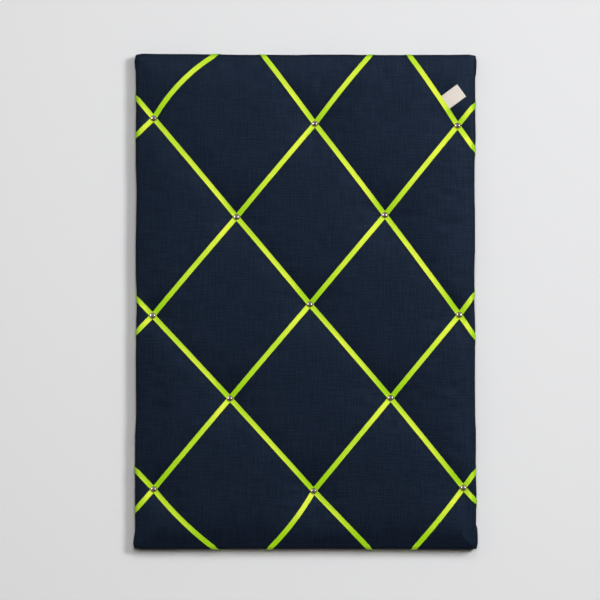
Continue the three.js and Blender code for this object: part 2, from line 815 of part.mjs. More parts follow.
// Linen, wadding and core board, from the outside in

function windowCutter(halfWidth, halfHeight, yFrom, yTo) {
  return boxSolid(
    new THREE.Vector3(-halfWidth, yFrom, -halfHeight),
    new THREE.Vector3(halfWidth, yTo, halfHeight),
  );
}

const flangeWindow = windowCutter(
  outerHalfWidth - flangeWidth,
  outerHalfHeight - flangeWidth,
  coreBack - cutMargin,
  flangeFace + cutMargin,
);
const linen = paddedSolid(fineSteps, 0, flangeFace).subtract(
  paddedSolid(coarseSteps, fabricThickness, coreBack),
);
addPiece("fabric_cover", "linen", cutAll(linen, [flangeWindow, ...studHoles]));

const coreBox = windowCutter(coreWidth / 2, coreHeight / 2, coreFront, coreBack);
const coreRoom = windowCutter(coreWidth / 2, coreHeight / 2, coreFront, coreBack + cutMargin);
const padding = paddedSolid(coarseSteps, fabricThickness + fitGap, coreBack);
addPiece("wadding", "wadding", cutAll(padding, [coreRoom, ...studHoles]));

// Backing sheet and the pins that hold it

const pinX = outerHalfWidth - backingInset - pinInset;
const pinZ = outerHalfHeight - backingInset - pinInset;
const pinPlaces = [[-pinX, pinZ], [pinX, pinZ], [-pinX, -pinZ], [pinX, -pinZ]];
const pinHoles = pinPlaces.map(([x, z]) =>
  holeCutter(pinShankDiameter / 2, x, z, backingBack - pinLength - holeGap, cutMargin),
);
pinPlaces.forEach(([x, z], k) => {
  const [shank, head] = [pinShankDiameter / 2, pinHeadDiameter / 2];
  const profile = [
    [0, -pinLength],
    [shank, pinPoint - pinLength],
    [shank, 0],
    [head, 0],
    [head, pinHeadThickness],
    [0, pinHeadThickness],
  ];
  addPiece(`backing_pin_${k + 1}`, "zinc", turnedSolid(profile, studSegments, x, backingBack, z));
});

const hangerX = coreWidth / 2 - hangerFromSide;
const hangerZ = coreHeight / 2 - hangerFromTop;
const screwZ = hangerZ - strapLength + strapHoleInset;
const screwRadius = screwShankDiameter / 2;

function roundedRectangle(halfWidth, halfHeight, radius) {
  const shape = new THREE.Shape();
  const [x, z] = [halfWidth - radius, halfHeight - radius];
  shape.absarc(x, z, radius, 0, Math.PI / 2);
  shape.absarc(-x, z, radius, Math.PI / 2, Math.PI);
  shape.absarc(-x, -z, radius, Math.PI, 1.5 * Math.PI);
  shape.absarc(x, -z, radius, 1.5 * Math.PI, 2 * Math.PI);
  return shape;
}

// A plate whose outline is drawn in x and z, between two depths
function plateSolid(shape, yFrom, yTo, curveSegments) {
  const options = { depth: yTo - yFrom, bevelEnabled: false, curveSegments };
  const geometry = new THREE.ExtrudeGeometry(shape, options);
  return toSolid(geometry.rotateX(Math.PI / 2).translate(0, yTo, 0));
}

const screwHoles = [-hangerX, hangerX].map((x) =>
  holeCutter(screwRadius, x, screwZ, backingBack - screwLength - holeGap, cutMargin),
);
const backingOutline = roundedRectangle(
  outerHalfWidth - backingInset,
  outerHalfHeight - backingInset,
  backingCorner,
);
const sheet = plateSolid(backingOutline, backingFront, backingBack, cornerSegments);
addPiece("backing_sheet", "hardboard", cutAll(sheet, [...screwHoles, ...pinHoles]));

const tailLegs = staplePlaces.flatMap(legCutters);
const coreHoles = [...studHoles, ...tailLegs, ...screwHoles, ...pinHoles];
addPiece("core_board", "fibreboard", cutAll(coreBox, coreHoles));

// Strap hangers: a strap curled round the bar of a ring, and the screw that holds it

const curlInner = ringWire / 2 + holeGap;
const curlOuter = curlInner + strapThickness;
const ringY = backingBack + curlOuter;

function strapSolid(x) {
  const bottom = -Math.PI / 2;
  const last = bottom + THREE.MathUtils.degToRad(strapCurlTurn);
  const profile = new THREE.Shape();
  profile.moveTo(-strapLength, -curlOuter);
  profile.absarc(0, 0, curlOuter, bottom, last, false);
  profile.absarc(0, 0, curlInner, last, bottom, true);
  profile.lineTo(-strapLength, -curlInner);
  const options = { depth: strapWidth, bevelEnabled: false, curveSegments: curlSegments };
  const folded = new THREE.ExtrudeGeometry(profile, options);
  folded.translate(0, 0, -strapWidth / 2).rotateY(-Math.PI / 2);
  folded.translate(x, ringY, hangerZ);
  const plan = new THREE.Shape();
  const radius = strapWidth / 2;
  plan.moveTo(x + radius, hangerZ + 2 * curlOuter);
  plan.lineTo(x - radius, hangerZ + 2 * curlOuter);
  plan.absarc(x, hangerZ - strapLength + radius, radius, Math.PI, 2 * Math.PI);
  const outline = plateSolid(plan, backingBack - cutMargin, cutMargin, curlSegments);
  return toSolid(folded).intersect(outline);
}

// A closed tube round a flat path in x and z
function ringSolid(path, radius, y) {
  const points = [];
  path.forEach((place, k) => {
    const before = path.at(k - 1);
    const after = path[(k + 1) % path.length];
    const travel = after.clone().sub(before).normalize();
    const side = new THREE.Vector2(travel.y, -travel.x);
    for (let n = 0; n < wireSegments; n += 1) {
      const turn = (2 * Math.PI * (n + 0.5)) / wireSegments;
      const out = radius * Math.cos(turn);
      points.push(
        new THREE.Vector3(place.x + side.x * out, y + radius * Math.sin(turn), place.y + side.y * out),
      );
    }
  });
  const triangles = [];
  path.forEach((_, k) => {
    const next = (k + 1) % path.length;
    for (let n = 0; n < wireSegments; n += 1) {
      const [a, b] = [k * wireSegments + n, k * wireSegments + ((n + 1) % wireSegments)];
      const [c, d] = [next * wireSegments + n, next * wireSegments + ((n + 1) % wireSegments)];
      triangles.push(a, b, d, a, d, c);
    }
  });
  return facetSolid(points, triangles);
}

// The ring's middle line as it hangs: a bar in the strap's curl, rounded corners, legs and a bow
function ringPath(x) {
  const half = strapWidth / 2 + ringSideClearance + ringWire / 2;
  const shoulder = hangerZ - ringCorner;
  const outline = new THREE.Path();
  outline.absarc(x - half + ringCorner, shoulder, ringCorner, Math.PI / 2, Math.PI);
  outline.absarc(x, shoulder - ringLeg, half, Math.PI, 2 * Math.PI);
  outline.absarc(x + half - ringCorner, shoulder, ringCorner, 0, Math.PI / 2);
  return outline.getPoints(ringArcSegments);
}

function screwSolid(x) {
  const head = screwHeadDiameter / 2;
  const crown = capProfile(head, screwHeadHeight - screwRim, domeSteps);
  const profile = [
    [0, -screwLength],
    [screwRadius, screwPoint - screwLength],
    [screwRadius, 0],
    [head, 0],
    ...crown.reverse().map(([radius, rise]) => [radius, screwHeadHeight + rise]),
  ];
  const seat = backingBack + strapThickness;
  const slotFloor = seat + screwHeadHeight - screwSlotDepth;
  const [long, short] = [screwSlotLength / 2, screwSlotWidth / 2];
  const slots = [[long, short], [short, long]].map(([dx, dz]) =>
    boxSolid(
      new THREE.Vector3(x - dx, slotFloor, screwZ - dz),
      new THREE.Vector3(x + dx, slotFloor + cutMargin, screwZ + dz),
    ),
  );
  return cutAll(turnedSolid(profile, roundSegments / 2, x, seat, screwZ), slots);
}

function bumperSolid(x, z) {
  const radius = bumperDiameter / 2;
  const profile = [
    [0, -bumperHeight],
    [radius, -bumperHeight],
    [radius, -bumperChamfer],
    [radius - bumperChamfer, 0],
    [0, 0],
  ];
  return turnedSolid(profile, roundSegments, x, 0, z);
}

const bumperX = outerHalfWidth - backingInset - bumperInset;
const bumperZ = backingInset + bumperInset - outerHalfHeight;
for (const [side, sign] of [["left", -1], ["right", 1]]) {
  const x = sign * hangerX;
  const screwHole = screwHoles[(sign + 1) / 2];
  addPiece(`${side}_hanger_strap`, "zinc", strapSolid(x).subtract(screwHole));
  addPiece(`${side}_hanger_ring`, "zinc", ringSolid(ringPath(x), ringWire / 2, ringY));
  addPiece(`${side}_hanger_screw`, "zinc", screwSolid(x));
  addPiece(`${side}_bumper`, "felt", bumperSolid(sign * bumperX, bumperZ));
}

export default board;
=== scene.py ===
"""French memo board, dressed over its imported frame.

Tufted linen, satin ribbons, domed nails, a woven tab and the fittings on the back, in metres: x runs to
the right, z up, the face looks towards -y, and the wall is at y = 0.
"""

import logging
from dataclasses import dataclass, replace
from enum import Enum

import bpy
import numpy as np
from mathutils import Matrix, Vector
from numpy.typing import NDArray


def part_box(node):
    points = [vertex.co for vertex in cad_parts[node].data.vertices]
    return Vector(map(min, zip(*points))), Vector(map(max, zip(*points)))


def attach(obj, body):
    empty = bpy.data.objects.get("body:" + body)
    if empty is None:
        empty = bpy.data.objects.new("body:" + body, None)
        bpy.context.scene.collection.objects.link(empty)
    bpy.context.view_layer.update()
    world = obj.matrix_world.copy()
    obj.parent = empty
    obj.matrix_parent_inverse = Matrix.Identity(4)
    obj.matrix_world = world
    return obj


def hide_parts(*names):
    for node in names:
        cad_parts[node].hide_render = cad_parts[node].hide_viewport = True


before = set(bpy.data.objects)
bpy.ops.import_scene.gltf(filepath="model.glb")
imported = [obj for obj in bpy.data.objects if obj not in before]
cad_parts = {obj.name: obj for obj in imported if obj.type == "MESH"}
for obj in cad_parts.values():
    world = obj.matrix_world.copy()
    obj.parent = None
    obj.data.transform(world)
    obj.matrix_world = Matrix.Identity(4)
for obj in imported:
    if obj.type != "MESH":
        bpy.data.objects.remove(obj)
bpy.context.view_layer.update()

Array = NDArray[np.float64]
Faces = list[NDArray[np.int64]]
Colour = tuple[float, float, float]
Cell = tuple[float, float, float]
Place = tuple[float, float, float]
Span = tuple[float, float]

log = logging.getLogger("memo_board")
CLOTH_MAP = "cloth"
BOARD = "board"
QUARTER_TURN = 0.5 * np.pi
FULL_TURN = 2.0 * np.pi


class Worded(Enum):
    """A choice whose name is also a word in the names of pieces."""

    @property
    def word(self) -> str:
        """The choice's word."""
        return self.name.lower()


def smoothstep(low: float, high: float, value: Array) -> Array:
    """Eases from 0 at low to 1 at high as 3t^2 - 2t^3.

    Args:
        low: Value at which the result starts to rise.
        high: Value at which the result reaches 1.
        value: Where to evaluate.

    Returns:
        The eased share, of value's shape.
    """
    t = np.clip((value - low) / (high - low), 0.0, 1.0)
    return t * t * (3.0 - 2.0 * t)


def unit(vectors: Array) -> Array:
    """Returns the vectors along the last axis at length 1."""
    return vectors / np.linalg.norm(vectors, axis=-1, keepdims=True)


def travel(line: Array) -> Array:
    """Returns the distance along a line of points, from 0 at the first."""
    return np.concatenate([[0.0], np.cumsum(np.linalg.norm(np.diff(line, axis=0), axis=1))])


def stand(plane: Array, y: Array | float) -> Array:
    """Gives places on the face's plane their depth.

    Args:
        plane: Places as right and up, along the last axis.
        y: Their depths, or one depth for all.

    Returns:
        Points as x, y and z along the last axis.
    """
    return np.stack([plane[..., 0], np.broadcast_to(y, plane.shape[:-1]), plane[..., 1]], axis=-1)


def grid_quads(rows: int, columns: int, closed: bool = False) -> NDArray[np.int64]:
    """Quads between neighbouring points of a grid stored row by row.

    Args:
        rows: Number of rows of points.
        columns: Number of points in a row.
        closed: Whether each row's last point joins its first.

    Returns:
        An array of four point numbers for each quad.
    """
    row = np.arange(rows - 1)[:, None] * columns
    column = np.arange(columns if closed else columns - 1)[None, :]
    beside = (column + 1) % columns
    corners = [row + column, row + beside, row + columns + beside, row + columns + column]
    return np.stack(corners, axis=-1).reshape(-1, 4)


class MeshPiece:
    """A piece of the board, put together from whole arrays and placed at the origin."""

    def __init__(self, name: str, points: Array, faces: Faces, uv: Array | None = None) -> None:
        """Makes the mesh object.

        Args:
            name: The piece's name.
            points: Its points, one row each.
            faces: Arrays of point numbers, one array for each number of corners.
            uv: A place on the cloth, in metres, for each point.
        """
        mesh = bpy.data.meshes.new(name)
        corners = [face for group in faces for face in group.tolist()]
        mesh.from_pydata(points.tolist(), [], corners)
        mesh.polygons.foreach_set("use_smooth", np.ones(len(corners), dtype=bool))
        if uv is not None:
            used = np.empty(len(mesh.loops), dtype=np.int64)
            mesh.loops.foreach_get("vertex_index", used)
            layer = mesh.uv_layers.new(name=CLOTH_MAP)
            layer.data.foreach_set("uv", uv[used].astype(np.float32).ravel())
        mesh.update()
        self.object = bpy.data.objects.new(name, mesh)
        bpy.context.scene.collection.objects.link(self.object)

    def dress(self, material: bpy.types.Material, slot: str, body: str, *nodes: str) -> bpy.types.Object:
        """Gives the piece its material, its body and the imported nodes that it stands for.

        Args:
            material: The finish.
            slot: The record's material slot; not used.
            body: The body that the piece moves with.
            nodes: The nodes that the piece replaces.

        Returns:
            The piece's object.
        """
        self.object.data.materials.append(material)
        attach(self.object, body)
        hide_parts(*nodes)
        points = len(self.object.data.vertices)
        log.info("%s: %d points, for %s", self.object.name, points, ", ".join(nodes))
        return self.object


def turned_piece(name: str, profile: Array, segments: int, x: float, y: float, z: float) -> MeshPiece:
    """A closed body turned about a line towards the wall: the profile swept round a full circle.

    Args:
        name: The piece's name.
        profile: Radius and depth pairs, from a first to a last point on the axis.
        segments: Steps round the circle.
        x: The axis' place to the right.
        y: Where the profile's depth counts from.
        z: The axis' height.

    Returns:
        The piece.
    """
    turn = np.linspace(0.0, FULL_TURN, segments, endpoint=False)
    radius, depth = profile[1:-1, 0, None], profile[1:-1, 1, None]
    rings = np.stack(np.broadcast_arrays(
        x + radius * np.cos(turn), y + depth, z + radius * np.sin(turn)), axis=-1).reshape(-1, 3)
    poles = np.array([[x, y + profile[0, 1], z], [x, y + profile[-1, 1], z]])
    quads = grid_quads(len(profile) - 2, segments, closed=True)
    around = np.arange(segments)
    beside = (around + 1) % segments
    first, last = len(rings), len(rings) + 1
    base = len(rings) - segments
    near = np.stack([np.full(segments, first), beside, around], axis=-1)
    far = np.stack([np.full(segments, last), base + around, base + beside], axis=-1)
    return MeshPiece(name, np.vstack([rings, poles]), [quads, near, far])


def banded_piece(name: str, top: Array, under: Array, uv: Array) -> MeshPiece:
    """A closed band: its top and underside, joined along both edges and across both ends.

    Args:
        name: The piece's name.
        top: Points of the upper side, as rows along the band and columns across it.
        under: Points of the underside, in the same layout.
        uv: Places on the cloth, in the same layout.

    Returns:
        The piece.
    """
    rows, across = top.shape[:2]
    loop = np.concatenate([top, under[:, ::-1]], axis=1)
    cloth = np.concatenate([uv, uv[:, ::-1]], axis=1)
    quads = grid_quads(rows, 2 * across, closed=True)
    cap = np.arange(across - 1)
    rim = 2 * across - 1
    start = np.stack([cap, rim - cap, rim - cap - 1, cap + 1], axis=-1)
    end = (start + (rows - 1) * 2 * across)[:, ::-1]
    return MeshPiece(name, loop.reshape(-1, 3), [quads, start, end], cloth.reshape(-1, 2))


def staged_flat(name: str, centre: Place, half: Place, material: bpy.types.Material,
                unseen_by: tuple[str, ...]) -> None:
    """A flat rectangle for the stage.

    Args:
        name: The flat's name.
        centre: The middle of it.
        half: Half of its size along each axis, with 0 for the axis that it faces along.
        material: Its finish.
        unseen_by: The kinds of rays that pass it by.
    """
    first, second = [axis for axis in range(3) if half[axis] > 0.0]
    points = np.tile(np.array(centre), (4, 1))
    points[:, first] += half[first] * np.array([-1.0, 1.0, -1.0, 1.0])
    points[:, second] += half[second] * np.array([-1.0, -1.0, 1.0, 1.0])
    flat = MeshPiece(name, points, [grid_quads(2, 2)]).object
    flat.data.materials.append(material)
    for kind in unseen_by:
        setattr(flat, f"visible_{kind}", False)


class Signal:
    """A shader value that Python's operators turn into Math nodes."""

    def __init__(self, tree: "ShaderTree", socket: bpy.types.NodeSocket) -> None:
        """Wraps a node's output.

        Args:
            tree: The tree that new nodes go into.
            socket: The output.
        """
        self.tree = tree
        self.socket = socket

    def math(self, operation: str, *values: "Signal | float") -> "Signal":
        """Adds a Math node.

        Args:
            operation: The node's operation.
            values: Its inputs, in order.

        Returns:
            Its output.
        """
        return self.tree.node("ShaderNodeMath", {"operation": operation}, dict(enumerate(values)))

    def __add__(self, other: "Signal | float") -> "Signal":
        """Sum."""
        return self.math("ADD", self, other)

    def __sub__(self, other: "Signal | float") -> "Signal":
        """Difference."""
        return self.math("SUBTRACT", self, other)

    def __mul__(self, other: "Signal | float") -> "Signal":
        """Product."""
        return self.math("MULTIPLY", self, other)

    def __truediv__(self, other: "Signal | float") -> "Signal":
        """Quotient."""
        return self.math("DIVIDE", self, other)

    def __abs__(self) -> "Signal":
        """Distance from zero."""
        return self.math("ABSOLUTE", self)

    def sin(self) -> "Signal":
        """Sine of an angle in radians."""
        return self.math("SINE", self)

    def above(self, low: float, high: float) -> "Signal":
        """Eases from 0 at low to 1 at high."""
        limits = {"Value": self, "From Min": low, "From Max": high}
        return self.tree.node("ShaderNodeMapRange", {"interpolation_type": "SMOOTHSTEP"}, limits)


class ShaderTree:
    """The nodes of a material or of the world."""

    def __init__(self, owner: bpy.types.Material | bpy.types.World) -> None:
        """Clears the owner's nodes.

        Args:
            owner: What the nodes shade.
        """
        owner.use_nodes = True
        self.owner = owner
        self.nodes = owner.node_tree.nodes
        self.links = owner.node_tree.links
        self.nodes.clear()

    def node(self, kind: str, settings: dict | None = None, inputs: dict | None = None,
             output: str | None = None) -> Signal:
        """Adds any node.

        Args:
            kind: The node's type.
            settings: Its properties, set before its sockets.
            inputs: Numbers, colours or signals, by socket name or number.
            output: The name of the output to return, or None for the first one in use.

        Returns:
            The output.
        """
        made = self.nodes.new(kind)
        for key, value in (settings or {}).items():
            setattr(made, key, value)
        for key, value in (inputs or {}).items():
            live = [s for s in made.inputs if s.enabled]
            socket = made.inputs[key] if isinstance(key, int) else next(s for s in live if s.name == key)
            if isinstance(value, Signal):
                self.links.new(value.socket, socket)
            else:
                socket.default_value = value
        shown = [s for s in made.outputs if s.enabled and output in (None, s.name)]
        return Signal(self, shown[0]) if shown else None

    def mix(self, low: "Signal | tuple", high: "Signal | tuple", share: Signal) -> Signal:
        """Mixes two colours.

        Args:
            low: The colour at share 0.
            high: The colour at share 1.
            share: The mix.

        Returns:
            The colour.
        """
        return self.node("ShaderNodeMix", {"data_type": "RGBA"},
                         {"Factor": share, "A": self.rgba(low), "B": self.rgba(high)})

    @staticmethod
    def rgba(colour: "Signal | tuple") -> "Signal | tuple":
        """Adds full alpha to a plain colour."""
        return colour if isinstance(colour, Signal) else (*colour, 1.0)

    def place(self) -> Signal:
        """The point in the piece's own frame, in metres."""
        return self.node("ShaderNodeTexCoord", output="Object")

    def cloth(self) -> Signal:
        """The place on the cloth, in metres."""
        return self.node("ShaderNodeUVMap", {"uv_map": CLOTH_MAP})

    def part(self, vector: Signal, axis: str) -> Signal:
        """One coordinate of a vector."""
        return self.node("ShaderNodeSeparateXYZ", inputs={"Vector": vector}, output=axis)

    def noise(self, vector: Signal, cell: Cell, detail: float = 2.0) -> Signal:
        """Cloudy noise from 0 to 1.

        Args:
            vector: The place, in metres.
            cell: The size of a cloud along each axis, in metres.
            detail: Octaves of finer noise.

        Returns:
            The noise.
        """
        scaled = self.node("ShaderNodeMapping", inputs={
            "Vector": vector, "Scale": tuple(1.0 / size for size in cell)})
        return self.node("ShaderNodeTexNoise", inputs={"Vector": scaled, "Scale": 1.0, "Detail": detail})

    def bump(self, height: Signal, depth: float, below: Signal | None = None) -> Signal:
        """A bumped normal.

        Args:
            height: Height from 0 to 1.
            depth: The height's real size in metres.
            below: A normal to bump further.

        Returns:
            The normal.
        """
        inputs = {"Height": height, "Distance": depth, "Strength": 1.0, "Filter Width": 0.02}
        if below is not None:
            inputs["Normal"] = below
        return self.node("ShaderNodeBump", inputs=inputs)

    def finish(self, **sockets: object) -> bpy.types.Material:
        """Ends the tree in a Principled surface.

        Args:
            sockets: The shader's inputs, with underscores for the spaces in their names.

        Returns:
            The material.
        """
        named = {key.replace("_", " "): value for key, value in sockets.items()}
        surface = self.node("ShaderNodeBsdfPrincipled", inputs=named)
        self.node("ShaderNodeOutputMaterial", inputs={"Surface": surface})
        return self.owner


def new_tree(name: str) -> ShaderTree:
    """Starts a material.

    Args:
        name: The material's name.

    Returns:
        Its empty tree.
    """
    return ShaderTree(bpy.data.materials.new(name))


@dataclass(frozen=True)
class LinenFinish:
    """Plain-woven navy linen: slubbed threads both ways, and a dry gloss that spreads as it turns away.

    The weave is a sine across times a sine along, each shifted by the slubs of its own threads.
    """

    deep: Colour = (0.0005, 0.0014, 0.0044)
    raised: Colour = (0.0060, 0.0086, 0.0184)
    thread: float = 0.00062
    warp_slub: Cell = (0.0020, 0.027, 1.0)
    weft_slub: Cell = (0.023, 0.0020, 1.0)
    cloud: Cell = (0.035, 0.045, 1.0)
    waver: float = 2.0
    toned_slubs: Span = (0.36, 0.64)
    raised_slubs: Span = (0.40, 0.66)
    weave_tone: float = 0.2
    slub_tone: float = 0.55
    cloud_tone: float = 0.25
    weave_relief: float = 0.5
    relief: float = 0.00012
    roughness: float = 0.61
    raised_roughness: float = -0.12
    skimming: Span = (0.3, 0.65)
    skimming_roughness: float = 0.45
    gloss: float = 0.093
    gloss_tint: Colour = (0.31, 0.57, 0.97)
    fuzz: float = 0.06
    fuzz_roughness: float = 0.4
    fuzz_tint: Colour = (0.55, 0.75, 1.0)

    def material(self) -> bpy.types.Material:
        """Weaves the cloth.

        Returns:
            Its material.
        """
        tree = new_tree("navy_linen")
        cloth = tree.cloth()
        warp_slub = tree.noise(cloth, self.warp_slub, detail=3.0)
        weft_slub = tree.noise(cloth, self.weft_slub, detail=3.0)
        cloud = tree.noise(cloth, self.cloud)
        turn = FULL_TURN / self.thread
        across = (tree.part(cloth, "X") * turn + warp_slub * self.waver).sin()
        along = (tree.part(cloth, "Y") * turn + weft_slub * self.waver).sin()
        weave = across * along * 0.5 + 0.5
        slubs = warp_slub * 0.5 + weft_slub * 0.5
        toned = slubs.above(*self.toned_slubs)
        tone = weave * self.weave_tone + toned * self.slub_tone + cloud * self.cloud_tone
        height = weave * self.weave_relief + slubs.above(*self.raised_slubs)
        normal = tree.bump(height, self.relief)
        turned_away = tree.node("ShaderNodeLayerWeight", inputs={"Blend": 0.5}, output="Facing")
        skimming = turned_away.above(*self.skimming) * self.skimming_roughness
        return tree.finish(
            Base_Color=tree.mix(self.deep, self.raised, tone),
            Roughness=tone * self.raised_roughness + skimming + self.roughness,
            Specular_IOR_Level=self.gloss,
            Specular_Tint=(*self.gloss_tint, 1.0),
            Sheen_Weight=self.fuzz,
            Sheen_Roughness=self.fuzz_roughness,
            Sheen_Tint=(*self.fuzz_tint, 1.0),
            Normal=normal,
        )


@dataclass(frozen=True)
class SatinFinish:
    """Lime satin ribbon: a smooth warp face that glows yellow where it turns to the light.

    The warp's floats are a fine sine across, and the picks of the woven edges a sine along.
    """

    shade: Colour = (0.280, 0.695, 0.0010)
    light: Colour = (0.340, 0.765, 0.0020)
    gloss_tint: Colour = (1.0, 0.37, 0.15)
    half_width: float = 0.003
    float_pitch: float = 0.00014
    float_slope: float = 0.17
    pick_pitch: float = 0.0005
    wander: Cell = (0.0006, 0.009, 1.0)
    ripple: Cell = (0.004, 0.012, 1.0)
    waver: float = 4.0
    woven_edge: Span = (0.80, 0.90)
    roughness: float = 0.29
    wander_roughness: float = 0.10
    edge_roughness: float = 0.08
    index: float = 1.75

    def material(self) -> bpy.types.Material:
        """Weaves the ribbon.

        Returns:
            Its material.
        """
        tree = new_tree("lime_satin")
        cloth = tree.cloth()
        wander = tree.noise(cloth, self.wander)
        ripple = tree.noise(cloth, self.ripple)
        across = tree.part(cloth, "X")
        edge = (abs(across) / self.half_width).above(*self.woven_edge)
        turn = FULL_TURN / self.float_pitch
        floats = (across * turn + wander * self.waver).sin() * 0.5 + 0.5
        picks = (tree.part(cloth, "Y") * (FULL_TURN / self.pick_pitch)).sin() * 0.5 + 0.5
        height = floats + edge * picks
        return tree.finish(
            Base_Color=tree.mix(self.shade, self.light, wander * 0.5 + ripple * 0.5),
            Roughness=wander * self.wander_roughness + edge * self.edge_roughness + self.roughness,
            IOR=self.index,
            Specular_IOR_Level=1.0,
            Specular_Tint=(*self.gloss_tint, 1.0),
            Normal=tree.bump(height, 2.0 * self.float_slope / turn),
        )


@dataclass(frozen=True)
class PlatedFinish:
    """Plated metal with a cloudy film and fine rubbing marks."""

    name: str
    bright: Colour
    film: Colour
    roughness: float
    cloud: float = 0.004
    rubbing: float = 0.00005
    marks: Cell = (0.0004, 0.0004, 0.004)
    filmed: Span = (0.42, 0.72)
    film_roughness: float = 0.12
    mark_roughness: float = 0.06

    def material(self) -> bpy.types.Material:
        """Plates the metal.

        Returns:
            Its material.
        """
        tree = new_tree(self.name)
        place = tree.place()
        marks = tree.noise(place, self.marks, detail=3.0)
        film = tree.noise(place, (self.cloud,) * 3, detail=4.0).above(*self.filmed)
        return tree.finish(
            Base_Color=tree.mix(self.bright, self.film, film),
            Metallic=1.0,
            Roughness=film * self.film_roughness + marks * self.mark_roughness + self.roughness,
            Normal=tree.bump(marks, self.rubbing),
        )


@dataclass(frozen=True)
class TapeFinish:
    """Plain off-white woven tape."""

    thread: float = 0.0005
    low: Colour = (0.64, 0.58, 0.53)
    high: Colour = (0.86, 0.80, 0.74)
    slub: Cell = (0.003, 0.0006, 1.0)
    weave_tone: float = 0.35
    slub_tone: float = 0.75
    relief: float = 0.0001
    roughness: float = 0.9
    raised_roughness: float = -0.1
    gloss: float = 0.2

    def material(self) -> bpy.types.Material:
        """Weaves the tape: a sine across times a sine along.

        Returns:
            Its material.
        """
        tree = new_tree("woven_tape")
        cloth = tree.cloth()
        turn = FULL_TURN / self.thread
        across = (tree.part(cloth, "X") * turn).sin()
        along = (tree.part(cloth, "Y") * turn).sin()
        weave = across * along * 0.5 + 0.5
        slub = tree.noise(cloth, self.slub, detail=3.0)
        return tree.finish(
            Base_Color=tree.mix(self.low, self.high, weave * self.weave_tone + slub * self.slub_tone),
            Roughness=weave * self.raised_roughness + self.roughness,
            Specular_IOR_Level=self.gloss,
            Normal=tree.bump(weave, self.relief),
        )


@dataclass(frozen=True)
class PressedBoardFinish:
    """Pressed wood fibre: matted strands and darker flecks."""

    name: str
    dark: Colour
    pale: Colour
    roughness: float
    strand: float
    narrow: float = 0.25
    cloud: Cell = (0.06, 0.06, 0.05)
    fleck: float = 0.0012
    flecked: Span = (0.66, 0.74)
    strand_tone: float = 0.4
    cloud_tone: float = 0.4
    fleck_tone: float = 0.35
    toned: Span = (0.2, 0.95)
    pale_roughness: float = -0.2
    gloss: float = 0.3
    relief: float = 0.00008

    def material(self) -> bpy.types.Material:
        """Presses the board.

        Returns:
            Its material.
        """
        tree = new_tree(self.name)
        place = tree.place()
        narrow = self.narrow * self.strand
        strands = tree.noise(place, (self.strand, self.strand, narrow), detail=5.0)
        crossed = tree.noise(place, (narrow, self.strand, self.strand), detail=5.0)
        cloud = tree.noise(place, self.cloud, detail=3.0)
        flecks = tree.noise(place, (self.fleck,) * 3, detail=1.0).above(*self.flecked)
        matted = strands * self.strand_tone + crossed * self.strand_tone
        tone = matted + cloud * self.cloud_tone - flecks * self.fleck_tone
        return tree.finish(
            Base_Color=tree.mix(self.dark, self.pale, tone.above(*self.toned)),
            Roughness=tone * self.pale_roughness + self.roughness,
            Specular_IOR_Level=self.gloss,
            Normal=tree.bump(strands + crossed, self.relief),
        )


@dataclass(frozen=True)
class FeltFinish:
    """Dense grey felt."""

    dark: Colour = (0.020, 0.020, 0.022)
    pale: Colour = (0.065, 0.064, 0.066)
    hair: Cell = (0.0007, 0.0007, 0.0003)
    clump: float = 0.002
    hair_tone: float = 0.6
    clump_tone: float = 0.4
    roughness: float = 0.9
    hair_roughness: float = 0.1
    gloss: float = 0.1
    relief: float = 0.0003

    def material(self) -> bpy.types.Material:
        """Felts the fibres.

        Returns:
            Their material.
        """
        tree = new_tree("grey_felt")
        place = tree.place()
        hairs = tree.noise(place, self.hair, detail=4.0)
        clumps = tree.noise(place, (self.clump,) * 3)
        return tree.finish(
            Base_Color=tree.mix(self.dark, self.pale, hairs * self.hair_tone + clumps * self.clump_tone),
            Roughness=hairs * self.hair_roughness + self.roughness,
            Specular_IOR_Level=self.gloss,
            Normal=tree.bump(hairs + clumps, self.relief),
        )


@dataclass(frozen=True)
class WallFinish:
    """Pale rolled paint, shown from its front side only."""

    paint: Colour = (0.786, 0.796, 0.820)
    stipple: float = 0.004
    stipple_shade: float = 0.985
    roughness: float = 0.6

    def material(self) -> bpy.types.Material:
        """Paints the wall.

        Returns:
            Its material.
        """
        tree = new_tree("pale_wall")
        stipple = tree.noise(tree.place(), (self.stipple,) * 3, detail=3.0)
        colour = tree.mix(tuple(self.stipple_shade * c for c in self.paint), self.paint, stipple)
        paint = tree.node("ShaderNodeBsdfDiffuse", inputs={"Color": colour, "Roughness": self.roughness})
        clear = tree.node("ShaderNodeBsdfTransparent")
        behind = tree.node("ShaderNodeNewGeometry", output="Backfacing")
        shown = tree.node("ShaderNodeMixShader", inputs={0: behind, 1: paint, 2: clear})
        tree.node("ShaderNodeOutputMaterial", inputs={"Surface": shown})
        return tree.owner


